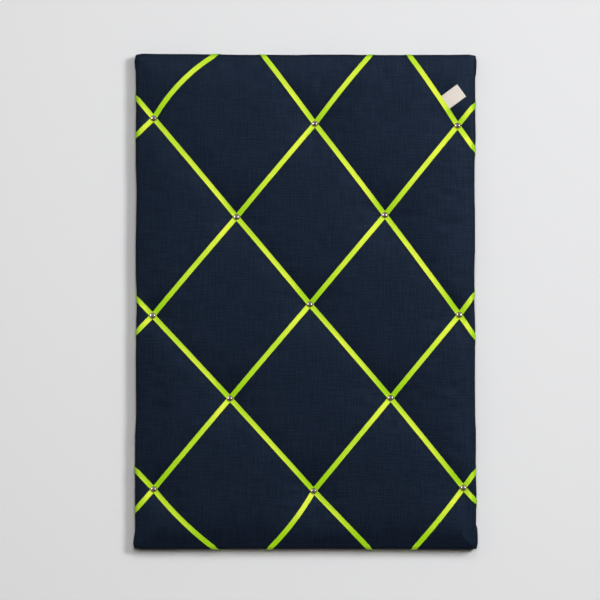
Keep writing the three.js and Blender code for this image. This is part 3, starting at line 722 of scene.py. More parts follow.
@dataclass(frozen=True)
class NailPattern:
    """The diamond pattern of nails, and how far by hand each one landed from its even place.

    Lattice columns count from the left and rows from the bottom. A nail sits where their sum is even, and
    the middle of a diamond where it is odd. The shifts by hand are to the right and up, row by row from
    the top.
    """

    columns: int = 5
    rows: int = 5
    pitch: tuple[float, float] = (0.09285, 0.111)
    face_half: tuple[float, float] = (0.2001, 0.2946)
    hand_laid: tuple[tuple[tuple[float, float], ...], ...] = (
        ((0.0021, -0.0002), (0.0118, -0.0068), (-0.0008, -0.0091)),
        ((0.0097, -0.0092), (0.0037, -0.0069)),
        ((0.0013, -0.0179), (0.0057, -0.0043), (0.0008, -0.0170)),
        ((0.0020, -0.0071), (0.0103, -0.0066)),
        ((0.0030, -0.0056), (0.0103, -0.0077), (0.0051, -0.0040)),
    )

    @property
    def margins(self) -> tuple[float, float]:
        """How many columns and rows lie between the outermost nails and the edges of the face."""
        return (self.face_half[0] / self.pitch[0] - (self.columns - 1) / 2,
                self.face_half[1] / self.pitch[1] - (self.rows - 1) / 2)

    def knots(self) -> tuple[Array, Array]:
        """The lattice columns and rows of the nodes.

        Returns:
            The columns and the rows, margins included.
        """
        side, end = self.margins
        columns = np.concatenate([[-side], np.arange(self.columns), [self.columns - 1 + side]])
        rows = np.concatenate([[-end], np.arange(self.rows), [self.rows - 1 + end]])
        return columns, rows

    def nodes(self) -> Array:
        """Places of the lattice's nodes on the face.

        A diamond's middle shares the mean shift of the nails round it, and the margins' nodes lie on the
        edges of the face.

        Returns:
            Right and up for each column and row, with a margin all round.
        """
        shift = np.full((self.columns, self.rows, 2), np.nan)
        for down, row_shifts in enumerate(self.hand_laid):
            row = self.rows - 1 - down
            shift[row % 2::2, row] = row_shifts
        ring = np.pad(shift, ((1, 1), (1, 1), (0, 0)), constant_values=np.nan)
        around = np.stack([ring[:-2, 1:-1], ring[2:, 1:-1], ring[1:-1, :-2], ring[1:-1, 2:]])
        counted = np.isfinite(around)
        mean = np.where(counted, around, 0.0).sum(axis=0) / np.maximum(counted.sum(axis=0), 1)
        shift = np.where(np.isfinite(shift), shift, mean)
        even = np.stack(np.meshgrid(
            (np.arange(self.columns) - (self.columns - 1) / 2) * self.pitch[0],
            (np.arange(self.rows) - (self.rows - 1) / 2) * self.pitch[1], indexing="ij"), axis=-1)
        places = np.pad(even + shift, ((1, 1), (1, 1), (0, 0)), mode="edge")
        places[[0, -1], :, 0] = np.array([[-1.0], [1.0]]) * self.face_half[0]
        places[:, [0, -1], 1] = np.array([-1.0, 1.0]) * self.face_half[1]
        return places

    def nail_keys(self) -> list[tuple[int, int]]:
        """Column and row of each nail, row by row from the top."""
        return [(column, row) for row in reversed(range(self.rows))
                for column in range(self.columns) if (column + row) % 2 == 0]

    def nail(self, column: int, row: int) -> Array:
        """A nail's place on the face."""
        return self.nodes()[column + 1, row + 1]

    def stations(self, cell: tuple[int, int], margin: tuple[int, int]) -> tuple[Array, Array]:
        """Even steps over the lattice, with a count of their own in the margins.

        Args:
            cell: Steps across and up each cell.
            margin: Steps across and up the margins.

        Returns:
            The stations across and up.
        """
        made = []
        for knots, steps, outer in zip(self.knots(), cell, margin):
            counts = np.full(len(knots) - 1, steps)
            counts[[0, -1]] = outer
            ends = np.concatenate([[0], np.cumsum(counts)])
            made.append(np.interp(np.arange(ends[-1] + 1), ends, knots))
        return made[0], made[1]

    def grid(self, cell: tuple[int, int], margin: tuple[int, int]) -> tuple[Array, Array, Array, Array]:
        """A grid of points over the whole face.

        Args:
            cell: Steps across and up each cell.
            margin: Steps across and up the margins.

        Returns:
            The stations across and up, and the points on the lattice and on the face, row by row.
        """
        across, up = self.stations(cell, margin)
        lattice = np.stack(np.meshgrid(across, up), axis=-1).reshape(-1, 2)
        return across, up, lattice, self.carry(lattice, back=False)

    def triangles(self) -> tuple[Array, Array]:
        """The flat triangles that carry the lattice on to the face.

        Each cell is split along its ribbon, from nail to nail.

        Returns:
            The triangles' corners on the lattice and on the face.
        """
        columns, rows = self.knots()
        lattice = np.stack(np.meshgrid(columns, rows, indexing="ij"), axis=-1)
        both = np.concatenate([lattice, self.nodes()], axis=-1)
        low, right = both[:-1, :-1], both[1:, :-1]
        up, far = both[:-1, 1:], both[1:, 1:]
        i, j = np.indices(low.shape[:2])
        even = ((i + j) % 2 == 0)[..., None]
        first = np.stack([low, right, np.where(even, far, up)], axis=2)
        second = np.stack([np.where(even, low, right), far, up], axis=2)
        corners = np.concatenate([first.reshape(-1, 3, 4), second.reshape(-1, 3, 4)])
        return corners[..., :2], corners[..., 2:]

    def carry(self, place: Array, back: bool) -> Array:
        """Carries points between the lattice and the face by the flat triangle that each lies in.

        Args:
            place: Points as rows of two.
            back: True from the face to the lattice, False from the lattice to the face.

        Returns:
            The carried points.
        """
        lattice, face = self.triangles()
        source, target = (face, lattice) if back else (lattice, face)
        best = np.full(len(place), -np.inf)
        carried = np.zeros_like(place)
        for corners, goal in zip(source, target):
            to_b, to_c, off = corners[1] - corners[0], corners[2] - corners[0], place - corners[0]
            area = to_b[0] * to_c[1] - to_b[1] * to_c[0]
            b = (off[:, 0] * to_c[1] - off[:, 1] * to_c[0]) / area
            c = (to_b[0] * off[:, 1] - to_b[1] * off[:, 0]) / area
            inside = np.minimum(np.minimum(b, c), 1.0 - b - c)
            better = inside > best
            best = np.where(better, inside, best)
            moved = goal[0] + b[:, None] * (goal[1] - goal[0]) + c[:, None] * (goal[2] - goal[0])
            carried = np.where(better[:, None], moved, carried)
        return carried


@dataclass(frozen=True)
class Settlement:
    """How far the linen rose or sank as it settled, on a grid over the lattice."""

    across: Array
    up: Array
    rise: Array

    @staticmethod
    def spread(stations: Array, place: Array) -> tuple[NDArray[np.int64], Array]:
        """The four stations about each place and their shares.

        The shares are those of a cubic B-spline: with f the share of the step passed, (1 - f)^3 / 6,
        (3f^3 - 6f^2 + 4) / 6, (1 + 3f + 3f^2 - 3f^3) / 6 and f^3 / 6.

        Args:
            stations: The grid's stations, rising.
            place: Where to look.

        Returns:
            Four station numbers and four shares, each as rows of one for every place.
        """
        step = np.interp(place, stations, np.arange(len(stations)))
        before = np.minimum(np.floor(step).astype(int), len(stations) - 2)
        f = step - before
        shares = np.stack([(1.0 - f) ** 3, 3.0 * f ** 3 - 6.0 * f ** 2 + 4.0,
                           1.0 + 3.0 * f + 3.0 * f ** 2 - 3.0 * f ** 3, f ** 3]) / 6.0
        numbers = np.clip(before + np.arange(-1, 3)[:, None], 0, len(stations) - 1)
        return numbers, shares

    def at(self, lattice: Array) -> Array:
        """The rise, smoothed over four by four stations.

        Args:
            lattice: Points of the lattice, one row each.

        Returns:
            The rise at each point, in metres.
        """
        columns, to_right = self.spread(self.across, lattice[:, 0])
        rows, upward = self.spread(self.up, lattice[:, 1])
        around = self.rise[rows[:, None], columns[None]]
        return np.sum(around * upward[:, None] * to_right[None], axis=(0, 1))


@dataclass(frozen=True)
class PadForm:
    """How deep the linen lies over the core: low at nails, higher along ribbons, crowned in between."""

    pattern: NailPattern
    seats: Array
    core_front: float = -0.0168
    at_nail: float = 0.0025
    at_ribbon: float = 0.0092
    at_crown: float = 0.0112
    at_edge: float = 0.006
    fullness: float = 3.2
    groove: float = 0.012
    edge_fade: float = 0.022
    seat_radius: float = 0.0012
    seat_fade: float = 0.0026
    settled: Settlement | None = None

    def swell(self, share: Array) -> Array:
        """Rise between two ribbons at 0 and 1.

        With u the distance to the nearer ribbon, softened close to it to sqrt(u^2 + g^2) - g, the rise is
        1 - (1 - 2u)^fullness.

        Args:
            share: The place across, where whole numbers lie on ribbons.

        Returns:
            The rise, from 0 to almost 1.
        """
        near = np.abs(share - np.round(share))
        soft = np.sqrt(near * near + self.groove ** 2) - self.groove
        return 1.0 - (1.0 - 2.0 * soft) ** self.fullness

    def depth(self, place: Array) -> Array:
        """Depth of the linen's outer face over the core.

        The two swells across the ribbons add to the height along a ribbon, and their product to the crown;
        the edges hold the linen down, and under each nail it is pressed flat.

        Args:
            place: Points of the face, as right and up along the last axis.

        Returns:
            The depths in metres, in the points' layout.
        """
        layout, place = place.shape[:-1], place.reshape(-1, 2)
        lattice = self.pattern.carry(place, back=True)
        rising = self.swell((lattice[:, 0] - lattice[:, 1]) / 2.0)
        falling = self.swell((lattice[:, 0] + lattice[:, 1]) / 2.0)
        both = rising * falling
        open_depth = (self.at_nail + (self.at_ribbon - self.at_nail) * (rising + falling - both)
                      + (self.at_crown - self.at_ribbon) * both)
        if self.settled is not None:
            open_depth += self.settled.at(lattice)
        half = np.array(self.pattern.face_half)
        to_edge = np.min(half - np.abs(place), axis=1)
        freedom = np.sin(QUARTER_TURN * np.clip(to_edge / self.edge_fade, 0.0, 1.0))
        depth = self.at_edge + (open_depth - self.at_edge) * freedom
        for right, up, seat in self.seats:
            away = np.hypot(place[:, 0] - right, place[:, 1] - up)
            free = smoothstep(self.seat_radius, self.seat_radius + self.seat_fade, away)
            depth = seat + (depth - seat) * free
        return depth.reshape(layout)


@dataclass(frozen=True)
class LinenSettling:
    """A short cloth simulation of the linen's face, on a grid coarser than the finished mesh.

    Nails, ribbons and edges hold the linen; the wadding presses it out in between, and it is cut with a
    little ease. It starts from a lower crown, and a point's rise r is kept under the cap as
    cap tanh(r / cap).
    """

    cell_steps: tuple[int, int] = (16, 20)
    margin_steps: tuple[int, int] = (3, 13)
    frames: int = 20
    pressure: float = 2.4
    ease: float = 0.002
    lower: float = 0.0016
    held_by_ribbon: float = 0.034
    held_by_edge: float = 0.004
    cap: float = 0.0022

    def held(self, lattice: Array, face: Array, pad: PadForm) -> Array:
        """Which points stay put: those under a ribbon or nail, and those at the edge of the face.

        Args:
            lattice: The points on the lattice.
            face: The points on the face.
            pad: The form that the linen is laid over.

        Returns:
            True for each point that stays.
        """
        shares = np.stack([lattice[:, 0] - lattice[:, 1], lattice[:, 0] + lattice[:, 1]]) / 2.0
        under = (np.abs(shares - np.round(shares)) < self.held_by_ribbon).any(axis=0)
        beside = np.min(np.array(pad.pattern.face_half) - np.abs(face), axis=1) < self.held_by_edge
        return under | beside

    def run(self, pad: PadForm) -> PadForm:
        """Lets the linen settle.

        Args:
            pad: The form that it is laid over.

        Returns:
            The form with the linen settled.
        """
        laid = replace(pad, at_crown=pad.at_crown - self.lower)
        across, up, lattice, face = pad.pattern.grid(self.cell_steps, self.margin_steps)
        start = stand(face, pad.core_front - laid.depth(face))
        settled = self.settle(start, grid_quads(len(up), len(across)), self.held(lattice, face, pad))
        rise = self.cap * np.tanh((start[:, 1] - settled[:, 1]) / self.cap)
        least, most = 1000.0 * rise.min(), 1000.0 * rise.max()
        log.info("linen settled: %d points, rise %.2f to %.2f mm", len(rise), least, most)
        return replace(laid, settled=Settlement(across, up, rise.reshape(len(up), len(across))))

    def settle(self, start: Array, quads: NDArray[np.int64], held: Array) -> Array:
        """Runs the simulation, and takes its mesh away again.

        Args:
            start: Points of the linen as it is laid.
            quads: Its faces.
            held: Which points stay put.

        Returns:
            The points once settled.
        """
        cloth = MeshPiece("settling_linen", start, [quads]).object
        group = cloth.vertex_groups.new(name="held")
        group.add(np.flatnonzero(held).tolist(), 1.0, "REPLACE")
        modifier = cloth.modifiers.new("settle", "CLOTH")
        settings = modifier.settings
        settings.vertex_group_mass = group.name
        settings.use_pressure = True
        settings.uniform_pressure_force = self.pressure
        settings.shrink_min = -self.ease
        settings.effector_weights.gravity = 0.0
        cache = modifier.point_cache
        cache.frame_start, cache.frame_end = 1, self.frames
        for number in range(1, self.frames + 1):
            bpy.context.scene.frame_set(number)
        moved = np.empty(start.size, dtype=np.float32)
        evaluated = cloth.evaluated_get(bpy.context.evaluated_depsgraph_get())
        evaluated.data.vertices.foreach_get("co", moved)
        bpy.context.scene.frame_set(1)
        mesh = cloth.data
        bpy.data.objects.remove(cloth)
        bpy.data.meshes.remove(mesh)
        return moved.reshape(-1, 3)


class Edge(Enum):
    """An edge of the board: the way out, as right and up."""

    LEFT = (-1, 0)
    RIGHT = (1, 0)
    TOP = (0, 1)
    BOTTOM = (0, -1)

    @property
    def out(self) -> Array:
        """The way out."""
        return np.array(self.value, dtype=float)

    @property
    def right(self) -> Array:
        """The right-hand side of the way out."""
        return np.array([self.value[1], -self.value[0]], dtype=float)

    @property
    def axis(self) -> int:
        """0 for the sides, 1 for the ends."""
        return 0 if self.value[0] else 1


@dataclass(frozen=True)
class CornerPleat:
    """Folded linen that stands out of a side at one corner.

    It reaches some length along the side, more of it towards the back, and ends in a fold that fades out.
    """

    right: int
    up: int
    length: float
    thick: float
    fade: float = 0.007
    slant: float = 0.4


@dataclass(frozen=True)
class EdgeWrap:
    """The way over the padded edge, down the side, round the back edge and in along the back.

    The pulls are how far the maker drew each edge in, in millimetres at even stations.
    """

    face_half: tuple[float, float] = (0.2001, 0.2946)
    front: float = -0.0228
    radius: float = 0.006
    flange: float = -0.007
    fold: float = 0.0012
    draw: float = 0.0005
    flange_width: float = 0.025
    corner_share: float = 0.9
    pulls: tuple[tuple[Edge, tuple[float, ...]], ...] = (
        (Edge.LEFT, (0.7, 0.8, 0.3, 0.2, 0.2, 1.5, 1.2, 0.9, 1.3, 2.0,
                     0.6, 0.2, 0.8, 1.3, 0.1, 0.1, 0.4, 0.2, 0.0)),
        (Edge.RIGHT, (0.0, -0.2, -0.9, -0.2, -0.7, 0.2, 0.4, 0.2, -0.1, 0.8,
                      0.6, -0.2, -0.3, 0.2, 0.1, -1.2, -0.8, -0.6, -1.1)),
        (Edge.TOP, (-1.0, -0.7, -0.7, -0.4, 0.2, 0.2, 0.4, -0.1, -0.1, 0.4, 0.6, 0.4, 0.5, 0.2)),
        (Edge.BOTTOM, (0.4, 0.1, 0.3, 0.2, 0.5, 0.4, 0.5, 0.6, 0.4, 0.3, 0.3, 0.0, 0.0, -0.2)),
    )

    def section(self, steps: int, reach: float, back_steps: int) -> tuple[Array, Array, Array, Array]:
        """The wrap's section: a quarter round, a straight side, a small quarter round and the back.

        Args:
            steps: Steps of each round and of the side.
            reach: How far in along the back it runs, from the side's plane.
            back_steps: Steps along the back.

        Returns:
            Distance out from the face's edge, depth, length travelled and the normal's turn in radians.
        """
        inward = self.fold + np.linspace(0.0, 1.0, back_steps + 1)[1:] * (reach - self.fold)
        turn = np.linspace(0.0, QUARTER_TURN, steps + 1)[1:]
        side = np.linspace(0.0, 1.0, steps + 1)[1:]
        side_front = self.front + self.radius
        side_length = self.flange - self.fold - side_front
        out = np.concatenate([
            self.radius * np.sin(turn), np.full(steps, self.radius),
            self.radius - self.fold * (1.0 - np.cos(turn)), self.radius - inward])
        depth = np.concatenate([
            self.front + self.radius * (1.0 - np.cos(turn)), side_front + side * side_length,
            self.flange - self.fold * (1.0 - np.sin(turn)), np.full(len(inward), self.flange)])
        steps_out = np.diff(out, prepend=0.0)
        steps_in = np.diff(depth, prepend=self.front)
        travelled = np.cumsum(np.hypot(steps_out, steps_in))
        tilt = np.concatenate([
            turn, np.full(steps, QUARTER_TURN), QUARTER_TURN + turn, np.full(len(inward), np.pi)])
        return out, depth, travelled, tilt

    def hold(self, out: Array, tilt: Array) -> tuple[Array, Array]:
        """How much of the draw and of the pleats a place of the section shows.

        The draw comes in evenly with the turn of the front edge, and both run out on the back as
        out / radius.

        Args:
            out: Distance out from the face's edge.
            tilt: The normal's turn in radians.

        Returns:
            The shares for the front's turn and for the back.
        """
        front = np.minimum(1.0, tilt / QUARTER_TURN)
        back = np.where(tilt <= QUARTER_TURN, 1.0, np.maximum(0.0, out / self.radius))
        return front, back

    def drawn_in(self, edge: Edge, along: Array) -> Array:
        """How far an edge is drawn in.

        The even draw is nothing at the corners and full half way, as 1 - q^4. The pulls run from the bottom
        up or from left to right, and are eased between their stations.

        Args:
            edge: The edge.
            along: Places along it: heights on the sides, rights on the ends.

        Returns:
            Metres towards the middle of the board.
        """
        half = self.face_half[1 - edge.axis] + self.radius
        q = np.clip(along / half, -1.0, 1.0)
        pulls = 0.001 * np.array(dict(self.pulls)[edge])
        station = 0.5 * (q + 1.0) * (len(pulls) - 1)
        before = np.minimum(np.floor(station).astype(int), len(pulls) - 2)
        share = smoothstep(0.0, 1.0, station - before)
        return self.draw * (1.0 - q ** 4) + pulls[before] * (1.0 - share) + pulls[before + 1] * share


@dataclass(frozen=True)
class TuftedLinen:
    """The linen over its wadding: one surface from the face over the edges to the raw edge on the back."""

    pad: PadForm
    wrap: EdgeWrap
    finish: LinenFinish = LinenFinish()
    cell_steps: tuple[int, int] = (44, 52)
    margin_steps: tuple[int, int] = (7, 34)
    wrap_steps: int = 7
    flange_steps: int = 4
    hem: float = 0.0008
    same_place: float = 1e-6
    sharpest: float = 1e-9
    pleats: tuple[CornerPleat, ...] = (
        CornerPleat(-1, 1, 0.013, 0.0013), CornerPleat(1, 1, 0.019, 0.0013),
        CornerPleat(-1, -1, 0.014, 0.0021, 0.018), CornerPleat(1, -1, 0.021, 0.0020))

    def pleat_out(self, base: Array, travelled: float) -> Array:
        """How far the corner pleats push the sides out.

        A pleat is full at its corner and ends in a slanting fold, further along the side towards the back.

        Args:
            base: Points of the face's edge.
            travelled: Distance round the edge from the face.

        Returns:
            The push in metres, for points of the left and right sides.
        """
        push = np.zeros(len(base))
        quarter = QUARTER_TURN * self.wrap.radius
        for pleat in self.pleats:
            near = (np.sign(base[:, 0]) == pleat.right) & (np.sign(base[:, 1]) == pleat.up)
            along = self.wrap.face_half[1] + self.wrap.radius - np.abs(base[:, 1])
            reach = pleat.length * (1.0 - pleat.slant + pleat.slant * travelled / quarter)
            full = 1.0 - smoothstep(reach - 0.5 * pleat.fade, reach + 0.5 * pleat.fade, along)
            push += np.where(near, pleat.thick * full * min(1.0, travelled / quarter) ** 2, 0.0)
        return push

    def rounded(self, ring: Array, out: float) -> Array:
        """Rounds a ring's corners.

        With x and z the shares of the rounding passed in a corner, a square corner becomes round by
        x sqrt(1 - z^2 / 2) and z sqrt(1 - x^2 / 2).

        Args:
            ring: Points carried straight out from the face's rim.
            out: How far out they lie.

        Returns:
            The ring with round corners.
        """
        rounding = self.wrap.corner_share * max(out, 0.0) + self.sharpest
        corner = (np.abs(ring) - (np.array(self.wrap.face_half) + out - rounding)) / rounding
        passed = np.clip(corner, 0.0, 1.0)
        turned = passed * np.sqrt(1.0 - passed[:, ::-1] ** 2 / 2.0)
        in_corner = (corner > 0.0).all(axis=1, keepdims=True) & (out > 0.0)
        return ring - np.where(in_corner, np.sign(ring) * (passed - turned) * rounding, 0.0)

    def drawn(self, base: Array) -> Array:
        """How far the edges are drawn in beside points of the face's rim.

        Args:
            base: Points of the face's edge.

        Returns:
            Metres towards the middle, across and up.
        """
        left, right = (self.wrap.drawn_in(edge, base[:, 1]) for edge in (Edge.LEFT, Edge.RIGHT))
        top, bottom = (self.wrap.drawn_in(edge, base[:, 0]) for edge in (Edge.TOP, Edge.BOTTOM))
        return np.stack([np.where(base[:, 0] < 0.0, left, right),
                         np.where(base[:, 1] > 0.0, top, bottom)], axis=-1)

    def surface(self) -> tuple[Array, Faces, Array]:
        """Points, faces and cloth places of the whole surface.

        The face is a grid on the lattice; rings of points carried out from its rim follow the edge's
        section, and a last ring is the raw edge's thickness.

        Returns:
            The points, the faces and a place on the cloth for each point.
        """
        across, up, _, face = self.pad.pattern.grid(self.cell_steps, self.margin_steps)
        width, height = len(across), len(up)
        number = np.arange(width * height).reshape(height, width)
        rim = np.concatenate([number[0, :-1], number[:-1, -1], number[-1, :0:-1], number[:0:-1, 0]])
        base = face[rim]
        at_edge = np.abs(base) > np.array(self.wrap.face_half) - self.same_place
        outward = np.where(at_edge, np.sign(base), 0.0)
        drawn = self.drawn(base)
        points = [stand(face, self.pad.core_front - self.pad.depth(face))]
        cloth = [face]
        outs, depths, lengths, tilts = self.wrap.section(
            self.wrap_steps, self.wrap.flange_width, self.flange_steps)
        for out, y, travelled, front, back in zip(outs, depths, lengths, *self.wrap.hold(outs, tilts)):
            step = out - drawn * front * back
            step[:, 0] += self.pleat_out(base, travelled) * back
            points.append(stand(self.rounded(base + outward * step, out), y))
            cloth.append(base + outward * travelled)
        points.append(points[-1] - np.array([0.0, self.hem, 0.0]))
        cloth.append(cloth[-1] - outward * self.hem)
        added = np.arange((len(points) - 1) * len(rim)).reshape(-1, len(rim))
        loops = np.concatenate([rim[None], width * height + added])
        sides = loops.reshape(-1)[grid_quads(len(loops), len(rim), closed=True)][:, ::-1]
        return np.vstack(points), [grid_quads(height, width), sides], np.vstack(cloth)

    def build(self) -> bpy.types.Object:
        """Makes the cover and dresses it.

        Returns:
            The cover's object.
        """
        points, faces, cloth = self.surface()
        piece = MeshPiece("tufted_linen", points, faces, cloth)
        cover = piece.dress(self.finish.material(), "linen", BOARD, "fabric_cover", "wadding")
        return cover


@dataclass(frozen=True)
class RibbonEnd:
    """How a ribbon was laid from its outermost nail: its lean along the edge, and its sideways slack."""

    lean: float = 1.0
    bow: float = 0.0


@dataclass(frozen=True)
class EndRoute:
    """The run from the outermost nail to the edge of the face."""

    nail: Array
    edge: Edge
    outward: Array
    laid: RibbonEnd
    face_half: tuple[float, float]

    def exit(self) -> Array:
        """Where the ribbon crosses the edge of the face.

        Returns:
            The place, as right and up.
        """
        reach = self.face_half[self.edge.axis] - self.nail @ self.edge.out
        turn = np.sign(self.outward @ self.edge.right)
        return self.nail + self.edge.out * reach + self.edge.right * (turn * self.laid.lean * reach)

    def way(self) -> Array:
        """The straight way from the nail to the exit."""
        return self.exit() - self.nail

    def length(self) -> float:
        """The length of the straight way."""
        return float(np.linalg.norm(self.way()))

    def slack(self) -> Array:
        """The slack's slope at the nail: four bows to the left of the way."""
        way = self.way()
        return 4.0 * self.laid.bow * unit(np.array([-way[1], way[0]]))

    def at(self, share: Array) -> Array:
        """Points on the run: with s the share passed, s of the way and s(1 - s) of the slack.

        Args:
            share: The shares of the way.

        Returns:
            The points, one row each.
        """
        return self.nail + share[:, None] * self.way() + (share * (1.0 - share))[:, None] * self.slack()

    def slope(self) -> float:
        """Travel along the edge for each metre towards it, where the ribbon leaves the face."""
        leaving = self.way() - self.slack()
        return float(leaving @ self.edge.right / (leaving @ self.edge.out))


@dataclass(frozen=True)
class TabLabel:
    """A bare tape tab, folded in two and caught under the top right ribbon, some degrees askew to it."""

    width: float = 0.0183
    reach: float = 0.0274
    tuck: float = 0.002
    from_nail: float = 0.0312
    askew: float = 3.0
    layer: float = 0.00028
    slack: float = 0.00025
    rest: float = 0.0001
    rise_length: float = 0.012
    curl: float = 0.0004
    look_ahead: float = 0.01
    run_points: int = 30
    fold_points: int = 9
    points_across: int = 15
    finish: TapeFinish = TapeFinish()

    @property
    def thick(self) -> float:
        """The folded tab's thickness where the ribbon holds it."""
        return 2.0 * self.layer

    def held(self, route: EndRoute) -> tuple[Array, Array, Array]:
        """Where the ribbon holds the tab.

        Args:
            route: The run of the ribbon.

        Returns:
            The middle of the held end, and the ways along the ribbon and out from it.
        """
        share = np.array([self.from_nail / route.length()])
        ahead, behind = route.at(share + self.look_ahead)[0], route.at(share - self.look_ahead)[0]
        heading = np.arctan2(*(ahead - behind)[::-1]) + np.radians(self.askew)
        along = np.array([np.cos(heading), np.sin(heading)])
        return route.at(share)[0], along, np.array([along[1], -along[0]])

    def section(self) -> tuple[Array, Array, Array]:
        """The tape's way: it runs out, turns over in a small fold and comes back on top of itself.

        Returns:
            Distance out from the ribbon, share of the turn made and height over the pad.
        """
        out = np.linspace(-self.tuck, self.reach - self.slack, self.run_points)
        turn = np.linspace(0.0, np.pi, self.fold_points)[1:-1]
        bulge = 0.5 * (self.layer + self.slack) * np.sin(turn)
        reach = np.concatenate([out, out[-1] + bulge, out[::-1]])
        turned = np.concatenate([np.zeros_like(out), 0.5 - 0.5 * np.cos(turn), np.ones_like(out)])
        height = self.rest + self.layer + turned * (self.layer + self.slack * self.eased(reach))
        return reach, turned, height

    def eased(self, reach: Array) -> Array:
        """How free of the ribbon the tab is, some distance out from it."""
        return smoothstep(0.0, self.rise_length, reach)

    def build(self, pad: PadForm, route: EndRoute) -> bpy.types.Object:
        """Makes the tab, with its free corners curled up a little.

        Args:
            pad: What the tab lies on.
            route: The run of the ribbon that holds it.

        Returns:
            The tab's object.
        """
        middle, along, across = self.held(route)
        reach, turned, height = self.section()
        sides = np.linspace(-0.5, 0.5, self.points_across) * self.width
        place = middle + reach[:, None, None] * across + sides[None, :, None] * along
        curl = self.curl * self.eased(reach)[:, None] * (sides / self.width * 2.0) ** 2
        below = np.where(turned > 0.5, 0.0, self.layer)
        inner = pad.depth(place) + height[:, None] - below[:, None] + curl
        top, under = (stand(place, pad.core_front - depth) for depth in (inner + self.layer, inner))
        travelled = travel(np.stack([reach, height], axis=-1))
        cloth = np.stack(np.broadcast_arrays(sides[None, :], travelled[:, None]), axis=-1)
        piece = banded_piece("folded_tab", top, under, cloth)
        tab = piece.dress(self.finish.material(), "label", BOARD, "tab_label")
        return tab


class Slant(Worded):
    """Which way a ribbon runs to the right: up, under the crossings, or down, over them."""

    RISING = 1
    FALLING = -1


